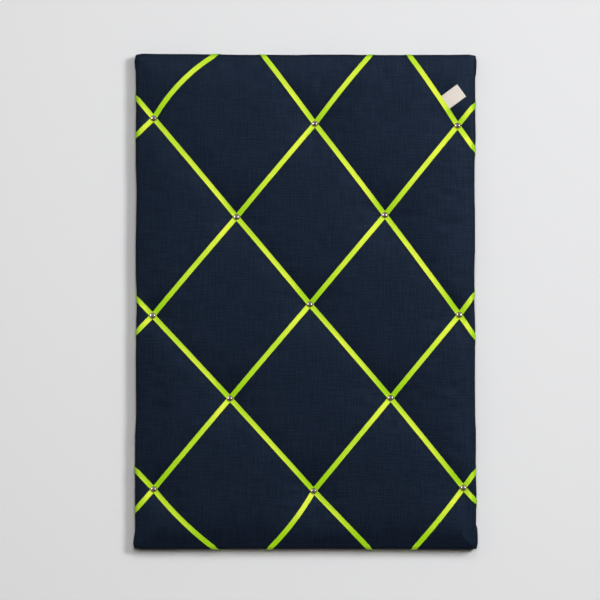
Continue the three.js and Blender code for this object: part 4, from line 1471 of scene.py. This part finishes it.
@dataclass(frozen=True)
class Ribbon:
    """One satin ribbon from tail to tail, pulled over the pad and held by its nails."""

    name: str
    nails: Array
    start: EndRoute
    end: EndRoute
    pad: PadForm
    wrap: EdgeWrap
    slant: Slant
    label: TabLabel | None = None
    width: float = 0.006
    thick: float = 0.0003
    rest: float = 0.0003
    step: float = 0.0015
    fewest_steps: int = 4
    wrap_steps: int = 8
    tail_steps: int = 11
    straighten: float = 0.012
    tail: float = 0.037
    crossing: float = 0.006
    label_fade: float = 0.005
    square_off: float = 0.010

    def sides(self) -> Array:
        """Places across the ribbon, from its left edge at -1 to its right edge at 1."""
        return np.array([-1.0, -0.9, -0.6, -0.3, 0.0, 0.3, 0.6, 0.9, 1.0])

    def shares(self, length: float) -> Array:
        """Even shares of a stretch of some length, from 0 to 1."""
        return np.linspace(0.0, 1.0, max(self.fewest_steps, int(round(length / self.step))) + 1)

    def centre_line(self) -> Array:
        """The middle of the ribbon on the face: an end run, straight stretches and an end run.

        Returns:
            Points from one edge to the other, one row each.
        """
        first = self.start.at(self.shares(self.start.length()))[::-1]
        last = self.end.at(self.shares(self.end.length()))
        between = [a + self.shares(np.linalg.norm(b - a))[1:, None] * (b - a)
                   for a, b in zip(self.nails[:-1], self.nails[1:])]
        return np.concatenate([first, *between, last[1:]])

    def face_part(self) -> tuple[Array, Array]:
        """Underside and top over the face.

        Sections stand square to the way, and turn to lie along the edge of the face as they reach it,
        with the ribbon's width kept. It follows the pad, and rises over the ribbon or tab under it.

        Returns:
            Points of the underside and of the top, as rows along and columns across.
        """
        line = self.centre_line()
        way = unit(np.gradient(line, axis=0))
        square = np.stack([way[:, 1], -way[:, 0]], axis=-1)
        travelled = travel(line)
        section = square.copy()
        for distance, route, sign in ((travelled, self.start, -1.0),
                                      (travelled[-1] - travelled, self.end, 1.0)):
            share = (1.0 - smoothstep(0.0, self.square_off, distance))[:, None]
            section = unit(section * (1.0 - share) + sign * route.edge.right * share)
        half = 0.5 * self.width / np.sum(section * square, axis=1)
        place = line[:, None] + self.sides()[None, :, None] * (half[:, None] * section)[:, None]
        depth = self.pad.depth(place) + self.rest + self.lifts(line)[:, None]
        under = stand(place, self.pad.core_front - depth)
        return under, under - np.array([0.0, self.thick, 0.0])

    def lifts(self, line: Array) -> Array:
        """How far the ribbon is lifted by what it crosses.

        Over a lower ribbon, d from the nail, the hump is exp(-(d / crossing)^2) of a ribbon's thickness.

        Args:
            line: Points of its centre line.

        Returns:
            A hump over each nail's lower ribbon, and a level step over the tab.
        """
        lift = np.zeros(len(line))
        if self.slant is Slant.FALLING:
            nearest = np.min(np.linalg.norm(line[:, None] - self.nails[None], axis=-1), axis=1)
            lift += self.thick * np.exp(-(nearest / self.crossing) ** 2)
        if self.label is not None:
            tab = self.start.at(np.array([self.label.from_nail / self.start.length()]))[0]
            beside = np.linalg.norm(line - tab, axis=1) - 0.5 * self.label.width
            lift += self.label.thick * (1.0 - smoothstep(0.0, self.label_fade, beside))
        return lift

    def wrap_part(self, route: EndRoute) -> tuple[Array, Array]:
        """Underside and top round the edge and along the back, starting beside the face.

        The ribbon runs on over the rounded edge and turns square to it: with the length s travelled, its
        slope fades as exp(-s / straighten).

        Args:
            route: The end run that leads to the edge.

        Returns:
            Points of the underside and of the top, as rows along and columns across.
        """
        edge = route.edge
        out, depth, travelled, tilt = self.wrap.section(self.wrap_steps, self.tail, self.tail_steps)
        fading = np.exp(-travelled / self.straighten)
        slope = route.slope()
        along = route.exit() @ edge.right
        centre = along + slope * self.straighten * (1.0 - fading)
        half = 0.5 * self.width * np.hypot(1.0, slope * fading)
        sideways = centre[:, None] + half[:, None] * self.sides()[None]
        drawn = self.wrap.drawn_in(edge, edge.right[1 - edge.axis] * sideways)
        for share in self.wrap.hold(out, tilt):
            drawn *= share[:, None]
        face = self.wrap.face_half[edge.axis]
        layers = []
        for lift in (self.rest, self.rest + self.thick):
            outward = (face + out + lift * np.sin(tilt))[:, None] - drawn
            plane = outward[..., None] * edge.out + sideways[..., None] * edge.right
            layers.append(stand(plane, (depth - lift * np.cos(tilt))[:, None]))
        return layers[0], layers[1]

    def build(self, material: bpy.types.Material) -> bpy.types.Object:
        """Joins the tails and the face part into one closed band.

        Args:
            material: The satin.

        Returns:
            The ribbon's object.
        """
        under, top = self.face_part()
        first = [layer[::-1, ::-1] for layer in self.wrap_part(self.start)]
        last = self.wrap_part(self.end)
        under = np.concatenate([first[0], under, last[0]])
        top = np.concatenate([first[1], top, last[1]])
        across = 0.5 * self.width * self.sides()
        along = travel(top[:, len(across) // 2])
        cloth = np.stack(np.broadcast_arrays(across[None], along[:, None]), axis=-1)
        piece = banded_piece(f"satin_{self.name}", top, under, cloth)
        return piece.dress(material, "ribbon", BOARD, self.name)


@dataclass(frozen=True)
class RibbonWork:
    """All the ribbons: five that rise to the right, and five that fall to the right and lie on top."""

    pad: PadForm
    wrap: EdgeWrap
    label: TabLabel
    finish: SatinFinish = SatinFinish()
    rising_ends: tuple[tuple[RibbonEnd, RibbonEnd], ...] = (
        (RibbonEnd(0.98), RibbonEnd(0.93, 0.0054)),
        (RibbonEnd(1.02), RibbonEnd(0.80, 0.0008)),
        (RibbonEnd(1.14), RibbonEnd(1.23)),
        (RibbonEnd(0.75, 0.0026), RibbonEnd(1.34)),
        (RibbonEnd(0.81, 0.0010), RibbonEnd(1.37)),
    )
    falling_ends: tuple[tuple[RibbonEnd, RibbonEnd], ...] = (
        (RibbonEnd(1.05), RibbonEnd(1.01, -0.0028)),
        (RibbonEnd(1.03), RibbonEnd(0.96)),
        (RibbonEnd(1.17), RibbonEnd(1.13)),
        (RibbonEnd(0.75), RibbonEnd(1.44)),
        (RibbonEnd(0.68, -0.0005), RibbonEnd(1.43)),
    )

    def lines(self, slant: Slant) -> list[list[tuple[int, int]]]:
        """The nails of each ribbon.

        Args:
            slant: Which ribbons.

        Returns:
            Columns and rows from left to right, from the left-hand ribbon on.
        """
        keys = sorted(self.pad.pattern.nail_keys())
        order = sorted({column - slant.value * row for column, row in keys})
        return [[key for key in keys if key[0] - slant.value * key[1] == line] for line in order]

    def ribbon(self, name: str, line: list[tuple[int, int]], slant: Slant,
               ends: tuple[RibbonEnd, RibbonEnd], label: TabLabel | None) -> Ribbon:
        """Settles one ribbon's nails, edges and end runs.

        Args:
            name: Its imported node.
            line: Columns and rows of its nails.
            slant: Which way it runs.
            ends: How its two ends were laid.
            label: The tab under its first stretch, if any.

        Returns:
            The ribbon.
        """
        pattern = self.pad.pattern
        nails = np.array([pattern.nail(*key) for key in line])
        onward = np.array([1.0, float(slant.value)])
        before, after = (Edge.BOTTOM, Edge.TOP) if slant is Slant.RISING else (Edge.TOP, Edge.BOTTOM)
        first = Edge.LEFT if line[0][0] == 0 else before
        last = Edge.RIGHT if line[-1][0] == pattern.columns - 1 else after
        start = EndRoute(nails[0], first, -onward, ends[0], pattern.face_half)
        end = EndRoute(nails[-1], last, onward, ends[1], pattern.face_half)
        return Ribbon(name, nails, start, end, self.pad, self.wrap, slant, label)

    def build(self) -> list[bpy.types.Object]:
        """Makes the tab, which the last falling ribbon holds, and every ribbon.

        Returns:
            Their objects.
        """
        satin = self.finish.material()
        made = []
        for slant, laid in ((Slant.RISING, self.rising_ends), (Slant.FALLING, self.falling_ends)):
            for k, (line, ends) in enumerate(zip(self.lines(slant), laid)):
                over_label = slant is Slant.FALLING and k == len(laid) - 1
                label = self.label if over_label else None
                ribbon = self.ribbon(f"{slant.word}_ribbon_{k + 1}", line, slant, ends, label)
                if over_label:
                    made.append(self.label.build(self.pad, ribbon.start))
                made.append(ribbon.build(satin))
        return made


@dataclass(frozen=True)
class DomedNails:
    """Polished nails: a round hollow head with a rolled lip, over a plain shank.

    The crown's inset and lift over the lip are shares of the lip's radius.
    """

    diameter: float = 0.0076
    height: float = 0.003
    shell: float = 0.0005
    lip: float = 0.00022
    shank: float = 0.0014
    length: float = 0.011
    point: float = 0.0025
    under_rim: float = 0.0010
    flatness: float = 2.3
    crown_inset: float = 0.3
    crown_lift: float = 0.6
    lip_start: float = -0.1
    crown_points: int = 18
    lip_points: int = 7
    hollow_points: int = 9
    segments: int = 40
    finish: PlatedFinish = PlatedFinish(
        "polished_nickel", (0.44, 0.40, 0.37), (0.28, 0.23, 0.20), 0.14, 0.0022, 0.00002)

    @staticmethod
    def names(pattern: NailPattern) -> list[str]:
        """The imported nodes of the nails, row by row from the top."""
        return [f"stud_{k + 1:02d}" for k in range(len(pattern.nail_keys()))]

    def rims(self, pattern: NailPattern) -> Array:
        """Depth of each nail's rim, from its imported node."""
        return np.array([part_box(name)[0].y + self.height for name in self.names(pattern)])

    def seats(self, pattern: NailPattern, core_front: float) -> Array:
        """Where the linen is pressed flat under each nail, leaving room for two ribbons.

        Args:
            pattern: Where the nails are.
            core_front: Depth of the core's front.

        Returns:
            Right, up and height over the core, one row for each nail.
        """
        depths = core_front - self.rims(pattern) - self.under_rim
        places = np.array([pattern.nail(*key) for key in pattern.nail_keys()])
        return np.column_stack([places, depths])

    def cap(self, rim: float, height: float, steps: int) -> Array:
        """Radius and depth pairs of a pressed cap, from its crown to its rim at depth 0.

        The section is (r / rim)^n + (d / height)^n = 1, flatter on top than a ball where n is over 2.

        Args:
            rim: Radius of the rim.
            height: Height of the crown.
            steps: Points of the section.

        Returns:
            The pairs, one row each.
        """
        turn = np.linspace(0.0, QUARTER_TURN, steps)
        power = 2.0 / self.flatness
        radius = rim * np.sin(turn) ** power
        return np.stack([radius, -height * np.clip(np.cos(turn), 0.0, 1.0) ** power], axis=-1)

    def profile(self) -> Array:
        """The nail's section: crown, rolled rim, hollow, shank and point.

        Returns:
            Radius and depth pairs, one row each.
        """
        rim, shank = 0.5 * self.diameter, 0.5 * self.shank
        depth = self.height - self.shell
        outside = self.cap(rim - self.lip * self.crown_inset, self.height, self.crown_points)
        outside[:, 1] -= self.lip * self.crown_lift
        roll = np.linspace(self.lip_start, np.pi, self.lip_points)
        middle = np.array([rim - self.lip, -self.lip])
        lip = middle + self.lip * np.stack([np.cos(roll), np.sin(roll)], axis=-1)
        inside = self.cap(rim - self.shell, depth, self.hollow_points)[::-1]
        hollow = inside[inside[:, 0] > shank]
        stem = np.array([[shank, -depth], [shank, self.length - self.point], [0.0, self.length]])
        return np.concatenate([outside, lip, hollow, stem])

    def build(self, pattern: NailPattern) -> list[bpy.types.Object]:
        """Makes every nail.

        Args:
            pattern: Where the nails are.

        Returns:
            The nails' objects.
        """
        nickel = self.finish.material()
        made = []
        for name, key, rim in zip(self.names(pattern), pattern.nail_keys(), self.rims(pattern)):
            right, up = pattern.nail(*key)
            piece = turned_piece(f"nail_{name[-2:]}", self.profile(), self.segments, right, rim, up)
            made.append(piece.dress(nickel, "nickel", BOARD, name))
        return made


class Side(Worded):
    """A side of the back, with the sign of its places to the right."""

    LEFT = -1.0
    RIGHT = 1.0


@dataclass(frozen=True)
class HeadedShank:
    """A pin or screw: a pointed shank under a head with a straight rim and an elliptical crown."""

    rim: float
    crown: float
    shank: float
    length: float
    point: float
    crown_points: int

    def profile(self, head: float) -> Array:
        """Its section, from the point to the top of the crown.

        Args:
            head: The head's radius.

        Returns:
            Radius and depth pairs, one row each.
        """
        turn = np.linspace(0.0, QUARTER_TURN, self.crown_points)
        crown = np.stack([head * np.cos(turn), self.rim + self.crown * np.sin(turn)], axis=-1)
        crown[-1, 0] = 0.0
        stem = np.array([[0.0, -self.length], [self.shank, self.point - self.length],
                         [self.shank, 0.0], [head, 0.0]])
        return np.concatenate([stem, crown])


@dataclass(frozen=True)
class StrapHanger:
    """A strap screwed to the back and folded round the bar of a ring, which swings in it."""

    side: Side
    to_side: float = 0.1065
    up: float = 0.156
    bar_depth: float = -0.0023
    wire: float = 0.0022
    ring_play: float = 0.0006
    ring_corner: float = 0.0024
    ring_leg: float = 0.0034
    corner_points: int = 9
    bow_points: int = 33
    wire_segments: int = 16
    strap_width: float = 0.011
    strap_thick: float = 0.0008
    strap_length: float = 0.024
    strap_edge: float = 0.96
    narrowest: float = 1e-5
    curl: float = 285.0
    play: float = 0.0003
    foot_points: int = 12
    run_points: int = 14
    curl_points: int = 40
    pan_screw: HeadedShank = HeadedShank(0.0005, 0.0012, 0.0014, 0.010, 0.003, 48)
    cross: tuple[float, float, float] = (0.0009, 0.0038, 0.0008)
    wall_share: float = 0.1
    screw_segments: int = 64

    @property
    def right(self) -> float:
        """The hanger's place to the right of the board's middle."""
        return self.side.value * self.to_side

    def ring(self) -> MeshPiece:
        """A closed wire ring: a circle carried round a bar, two rounded corners, two legs and a bow.

        Returns:
            The ring.
        """
        half = 0.5 * self.strap_width + self.ring_play + 0.5 * self.wire
        shoulder = self.up - self.ring_corner
        corner = np.linspace(QUARTER_TURN, np.pi, self.corner_points)
        bow = np.linspace(np.pi, FULL_TURN, self.bow_points)
        left = np.stack([self.right - half + self.ring_corner * (1.0 + np.cos(corner)),
                         shoulder + self.ring_corner * np.sin(corner)], axis=-1)
        round_bow = np.stack([self.right + half * np.cos(bow),
                              shoulder - self.ring_leg + half * np.sin(bow)], axis=-1)
        right = left[::-1] * np.array([-1.0, 1.0]) + np.array([2.0 * self.right, 0.0])
        line = np.concatenate([left, round_bow, right])
        way = unit(np.roll(line, -1, axis=0) - np.roll(line, 1, axis=0))
        outward = np.stack([way[:, 1], -way[:, 0]], axis=-1)
        turn = np.linspace(0.0, FULL_TURN, self.wire_segments, endpoint=False)
        reach = 0.5 * self.wire * np.cos(turn)
        plane = line[:, None] + reach[None, :, None] * outward[:, None]
        points = stand(plane, self.bar_depth + 0.5 * self.wire * np.sin(turn))
        loops = np.arange(len(line) * self.wire_segments).reshape(len(line), -1)
        closed = np.concatenate([loops, loops[:1]]).reshape(-1)
        quads = closed[grid_quads(len(line) + 1, self.wire_segments, closed=True)]
        return MeshPiece(f"{self.side.word}_wire_ring", points.reshape(-1, 3), [quads])

    def strap(self) -> MeshPiece:
        """A folded strap: a thin band carried up the board and round the ring's bar, with a rounded foot.

        Returns:
            The strap.
        """
        inner = 0.5 * self.wire + self.play
        half = 0.5 * self.strap_width
        foot = half * (1.0 - np.cos(np.linspace(0.0, QUARTER_TURN, self.foot_points)))
        rise = np.concatenate([foot, np.linspace(half, self.strap_length, self.run_points)[1:]])
        turn = np.radians(np.linspace(0.0, self.curl, self.curl_points))[1:]
        rounded = np.sqrt(np.maximum(half ** 2 - (half - rise) ** 2, self.narrowest ** 2))
        wide = np.concatenate([np.where(rise < half, rounded, half), np.full_like(turn, half)])
        sides = wide[:, None] * np.array([-1.0, -self.strap_edge, 0.0, self.strap_edge, 1.0])
        layers = []
        for radius in (inner, inner + self.strap_thick):
            y = np.concatenate([np.full_like(rise, -radius), -radius * np.cos(turn)]) + self.bar_depth
            z = np.concatenate([rise - self.strap_length, radius * np.sin(turn)]) + self.up
            spread = np.broadcast_arrays(self.right + sides, y[:, None], z[:, None])
            layers.append(np.stack(spread, axis=-1))
        cloth = np.zeros((*sides.shape, 2))
        return banded_piece(f"{self.side.word}_folded_strap", *layers, cloth)

    def screw(self, node: str) -> MeshPiece:
        """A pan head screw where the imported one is: a swept profile with a cross pressed into its crown.

        A slot's wall eases from 0 to 1 across a narrow strip; inside the two slots the crown is pressed
        down to one level floor.

        Args:
            node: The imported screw.

        Returns:
            The screw.
        """
        low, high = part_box(node)
        x, z, head = 0.5 * (low.x + high.x), 0.5 * (low.z + high.z), 0.5 * (high.x - low.x)
        seat = high.y - self.pan_screw.rim - self.pan_screw.crown
        name = f"{self.side.word}_pan_screw"
        piece = turned_piece(name, self.pan_screw.profile(head), self.screw_segments, x, seat, z)
        width, length, deep = self.cross
        wall = self.wall_share * width
        points = np.empty((len(piece.object.data.vertices), 3), dtype=np.float32)
        piece.object.data.vertices.foreach_get("co", points.ravel())
        away = np.abs(points - np.array([x, seat, z]))
        slots = [(1.0 - smoothstep(0.5 * width - wall, 0.5 * width + wall, away[:, a]))
                 * (1.0 - smoothstep(0.5 * length - wall, 0.5 * length + wall, away[:, b]))
                 for a, b in ((0, 2), (2, 0))]
        over = np.maximum(0.0, points[:, 1] - (high.y - deep))
        points[:, 1] -= np.maximum(*slots) * over
        piece.object.data.vertices.foreach_set("co", points.ravel())
        piece.object.data.update()
        return piece

    def build(self, metal: bpy.types.Material) -> list[bpy.types.Object]:
        """Makes the ring, the strap and the screw.

        Args:
            metal: Their finish.

        Returns:
            Their objects.
        """
        node = f"{self.side.word}_hanger"
        return [self.ring().dress(metal, "zinc", f"{self.side.word}_ring", f"{node}_ring"),
                self.strap().dress(metal, "zinc", BOARD, f"{node}_strap"),
                self.screw(f"{node}_screw").dress(metal, "zinc", BOARD, f"{node}_screw")]


@dataclass(frozen=True)
class BackFittings:
    """What the back carries: hangers, bumpers, pins and the plain boards."""

    bumper: tuple[float, float] = (0.1576, -0.2521)
    bumper_radius: float = 0.007
    bumper_height: float = 0.0045
    shoulder: float = 0.0012
    shoulder_points: int = 7
    bumper_segments: int = 40
    pin: tuple[float, float] = (0.1756, 0.2701)
    pin_head: float = 0.002
    pin_segments: int = 24
    panel_pin: HeadedShank = HeadedShank(0.0003, 0.0005, 0.0007, 0.009, 0.002, 6)
    backing: float = -0.0045
    zinc: PlatedFinish = PlatedFinish("bright_zinc", (0.58, 0.585, 0.59), (0.38, 0.385, 0.40), 0.24, 0.006)
    hardboard: PressedBoardFinish = PressedBoardFinish(
        "brown_hardboard", (0.085, 0.042, 0.020), (0.215, 0.120, 0.062), 0.65, 0.004)
    fibreboard: PressedBoardFinish = PressedBoardFinish(
        "raw_fibreboard", (0.24, 0.145, 0.07), (0.42, 0.28, 0.15), 0.9, 0.003)
    felt: FeltFinish = FeltFinish()

    def bumper_profile(self) -> Array:
        """The section of a soft disc with rounded shoulders.

        Returns:
            Radius and depth pairs, one row each.
        """
        radius, height = self.bumper_radius, self.bumper_height
        turn = np.linspace(0.0, QUARTER_TURN, self.shoulder_points)
        shoulder = np.stack([radius - self.shoulder * (1.0 - np.cos(turn)),
                             -self.shoulder * (1.0 - np.sin(turn))], axis=-1)
        return np.concatenate([[[0.0, -height], [radius, -height]], shoulder, [[0.0, 0.0]]])

    def build(self) -> list[bpy.types.Object]:
        """Makes the fittings that are round or bent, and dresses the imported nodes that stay.

        Returns:
            The objects made.
        """
        zinc, felt = self.zinc.material(), self.felt.material()
        made = []
        for side in Side:
            made += StrapHanger(side).build(zinc)
            bumper = turned_piece(f"{side.word}_felt_bumper", self.bumper_profile(), self.bumper_segments,
                                  side.value * self.bumper[0], 0.0, self.bumper[1])
            made.append(bumper.dress(felt, "felt", BOARD, f"{side.word}_bumper"))
        corners = [(-1.0, 1.0), (1.0, 1.0), (-1.0, -1.0), (1.0, -1.0)]
        for k, (right, up) in enumerate(corners):
            profile = self.panel_pin.profile(self.pin_head)
            pin = turned_piece(f"panel_pin_{k + 1}", profile, self.pin_segments,
                               right * self.pin[0], self.backing, up * self.pin[1])
            made.append(pin.dress(zinc, "zinc", BOARD, f"backing_pin_{k + 1}"))
        self.dress_node("backing_sheet", self.hardboard.material())
        self.dress_node("core_board", self.fibreboard.material())
        for name in sorted(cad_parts):
            if name.startswith("staple_"):
                self.dress_node(name, zinc)
        return made

    @staticmethod
    def dress_node(name: str, material: bpy.types.Material) -> None:
        """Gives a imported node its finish.

        Args:
            name: The node.
            material: The finish.
        """
        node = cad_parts[name]
        node.data.materials.clear()
        node.data.materials.append(material)
        log.info("%s: %s", name, material.name)


class LampUse(Enum):
    """What a lamp does: light alone, give gloss to all the cloth, to the linen alone, or glint in metal."""

    WASH = "wash"
    SHEEN = "sheen"
    RIM = "rim"
    GLINT = "glint"


@dataclass(frozen=True)
class SoftLamp:
    """A soft square lamp, placed by where it stands round the board."""

    name: str
    to_right: float
    up: float
    distance: float
    size: float
    level: float
    use: LampUse
    behind: bool = False

    def build(self) -> None:
        """Makes the lamp, facing the board; level is the light that it gives a white wall straight on."""
        right, up = np.radians([self.to_right, self.up])
        depth = 1.0 if self.behind else -1.0
        way = np.array([np.sin(right) * np.cos(up), depth * np.cos(right) * np.cos(up), np.sin(up)])
        data = bpy.data.lights.new(self.name, "AREA")
        data.shape = "SQUARE"
        data.size = self.size
        facing = abs(way[1])
        data.energy = float(self.level * np.pi ** 2 * self.distance ** 2 / facing)
        lamp = bpy.data.objects.new(self.name, data)
        bpy.context.scene.collection.objects.link(lamp)
        lamp.location = way * self.distance
        lamp.rotation_mode = "QUATERNION"
        lamp.rotation_quaternion = Vector(-way).to_track_quat("-Z", "Y")
        lamp.visible_glossy = self.use is not LampUse.WASH
        lamp.visible_diffuse = self.use is LampUse.WASH


@dataclass(frozen=True)
class StudioFlag:
    """A dark flat that only gloss and metal see: what a photographer's room has in front of a picture."""

    name: str
    colour: Colour
    centre: Place
    half: Place
    patches: Cell = (1.5, 1.5, 1.5)
    uneven: float = 0.5

    def build(self) -> None:
        """Makes the flat, which glows a little unevenly."""
        tree = new_tree(self.name)
        patches = tree.noise(tree.place(), self.patches)
        dim = tuple((1.0 - self.uneven) * c for c in self.colour)
        bright = tuple((1.0 + self.uneven) * c for c in self.colour)
        colour = tree.mix(dim, bright, patches)
        glow = tree.node("ShaderNodeEmission", inputs={"Color": colour, "Strength": 1.0})
        tree.node("ShaderNodeOutputMaterial", inputs={"Surface": glow})
        unseen_by = ("camera", "diffuse", "transmission", "shadow")
        staged_flat(self.name, self.centre, self.half, tree.owner, unseen_by)


@dataclass(frozen=True)
class Studio:
    """The wall, the lamps, the surroundings and the camera."""

    wall: WallFinish = WallFinish()
    wall_half: float = 3.0
    wall_gap: float = 0.0006
    lamps: tuple[SoftLamp, ...] = (
        SoftLamp("key_lamp", 32.0, 12.0, 3.6, 0.90, 0.46, LampUse.WASH),
        SoftLamp("top_lamp", 3.0, 26.0, 2.8, 0.62, 0.12, LampUse.WASH),
        SoftLamp("front_fill", 0.0, 2.0, 3.0, 0.5, 0.28, LampUse.WASH),
        SoftLamp("left_lamp", -36.0, 13.0, 2.0, 0.4, 0.03, LampUse.WASH),
        SoftLamp("front_softbox", 6.0, -5.0, 2.6, 0.8, 0.05, LampUse.SHEEN),
        SoftLamp("top_softbox", 0.0, 24.0, 2.6, 0.8, 0.06, LampUse.SHEEN),
        SoftLamp("right_softbox", 13.0, 12.0, 2.6, 0.65, 0.260, LampUse.SHEEN),
        SoftLamp("high_softbox", 28.0, 26.0, 2.6, 0.8, 0.175, LampUse.SHEEN),
        SoftLamp("left_softbox", -24.0, 22.0, 2.6, 0.65, 0.11, LampUse.SHEEN),
        SoftLamp("left_rim", -42.0, 26.0, 2.6, 0.9, 0.41, LampUse.RIM),
        SoftLamp("right_rim", 50.0, 35.0, 2.6, 1.6, 1.30, LampUse.RIM),
        SoftLamp("right_window", 46.0, 6.0, 2.6, 0.8, 0.32, LampUse.GLINT),
        SoftLamp("left_window", -64.0, 12.0, 2.6, 1.4, 0.32, LampUse.GLINT),
        SoftLamp("back_fill", -25.0, 20.0, 2.2, 1.2, 0.5, LampUse.WASH, behind=True),
        SoftLamp("back_window", -25.0, 20.0, 2.2, 1.2, 0.5, LampUse.GLINT, behind=True),
    )
    ambient: Colour = (0.150, 0.134, 0.108)
    surround: Colour = (0.62, 0.62, 0.62)
    flags: tuple[StudioFlag, ...] = (
        StudioFlag("room_behind_camera", (0.40, 0.35, 0.335), (0.0, -5.6, 0.0), (5.6, 0.0, 5.6)),
        StudioFlag("floor_below", (0.20, 0.11, 0.075), (0.0, -3.0, -1.1), (4.0, 2.6, 0.0)),
    )
    aim: Place = (-0.00628, -0.02, 0.0011)
    distance: float = 5.0
    tilt: float = 3.8
    lens: float = 248.0
    sensor: float = 36.0
    sight: float = 20.0

    def build(self) -> None:
        """Sets the stage."""
        self.hang_wall()
        for fitting in (*self.lamps, *self.flags):
            fitting.build()
        self.surroundings()
        self.camera()
        bpy.context.scene.view_settings.view_transform = "Standard"

    def shine_on(self, use: LampUse, pieces: list[bpy.types.Object]) -> None:
        """Keeps the lamps of one use on some pieces: softboxes on the cloth, windows on the metal.

        Args:
            use: The lamps' use.
            pieces: The pieces that they shine on.
        """
        receivers = bpy.data.collections.new(f"{use.value}_receivers")
        for piece in pieces:
            receivers.objects.link(piece)
        for lamp in self.lamps:
            if lamp.use is use:
                bpy.data.objects[lamp.name].light_linking.receiver_collection = receivers

    def hang_wall(self) -> None:
        """Makes the wall, which only the camera sees, so that the board's back stays lit."""
        centre, half = (0.0, self.wall_gap, 0.0), (self.wall_half, 0.0, self.wall_half)
        unseen_by = ("diffuse", "glossy", "transmission", "shadow")
        staged_flat("wall", centre, half, self.wall.material(), unseen_by)

    def surroundings(self) -> None:
        """A pale room that the camera and the metal see, and an even, warmer light from it."""
        world = bpy.data.worlds.new("room")
        bpy.context.scene.world = world
        tree = ShaderTree(world)
        seen = tree.node("ShaderNodeBackground", inputs={"Color": (*self.surround, 1.0), "Strength": 1.0})
        even = tree.node("ShaderNodeBackground", inputs={"Color": (*self.ambient, 1.0), "Strength": 1.0})
        rays = [tree.node("ShaderNodeLightPath", output=name)
                for name in ("Is Camera Ray", "Is Glossy Ray", "Is Transmission Ray")]
        share = rays[0].math("MAXIMUM", rays[0].math("MAXIMUM", rays[0], rays[1]), rays[2])
        shown = tree.node("ShaderNodeMixShader", inputs={0: share, 1: even, 2: seen})
        tree.node("ShaderNodeOutputWorld", inputs={"Surface": shown})

    def camera(self) -> None:
        """Stands the camera in front of the board, a little below its middle and looking up at it."""
        data = bpy.data.cameras.new("camera")
        data.sensor_width = self.sensor
        data.lens = self.lens
        data.clip_end = self.sight
        camera = bpy.data.objects.new("camera", data)
        bpy.context.scene.collection.objects.link(camera)
        tilt = np.radians(self.tilt)
        camera.location = np.array(self.aim) - self.distance * np.array([0.0, np.cos(tilt), np.sin(tilt)])
        camera.rotation_euler = (QUARTER_TURN + tilt, 0.0, 0.0)
        bpy.context.scene.camera = camera


def main() -> None:
    """Builds the board and its stage in order."""
    logging.basicConfig(level=logging.INFO, format="%(message)s")
    studio = Studio()
    studio.build()
    pattern = NailPattern()
    nails = DomedNails()
    pad = LinenSettling().run(PadForm(pattern, nails.seats(pattern, PadForm.core_front)))
    wrap = EdgeWrap()
    linen = TuftedLinen(pad, wrap).build()
    ribbons = RibbonWork(pad, wrap, TabLabel()).build()
    studio.shine_on(LampUse.SHEEN, [linen, *ribbons])
    studio.shine_on(LampUse.RIM, [linen])
    studio.shine_on(LampUse.GLINT, [*nails.build(pattern), *BackFittings().build()])


if __name__ == "__main__":
    main()
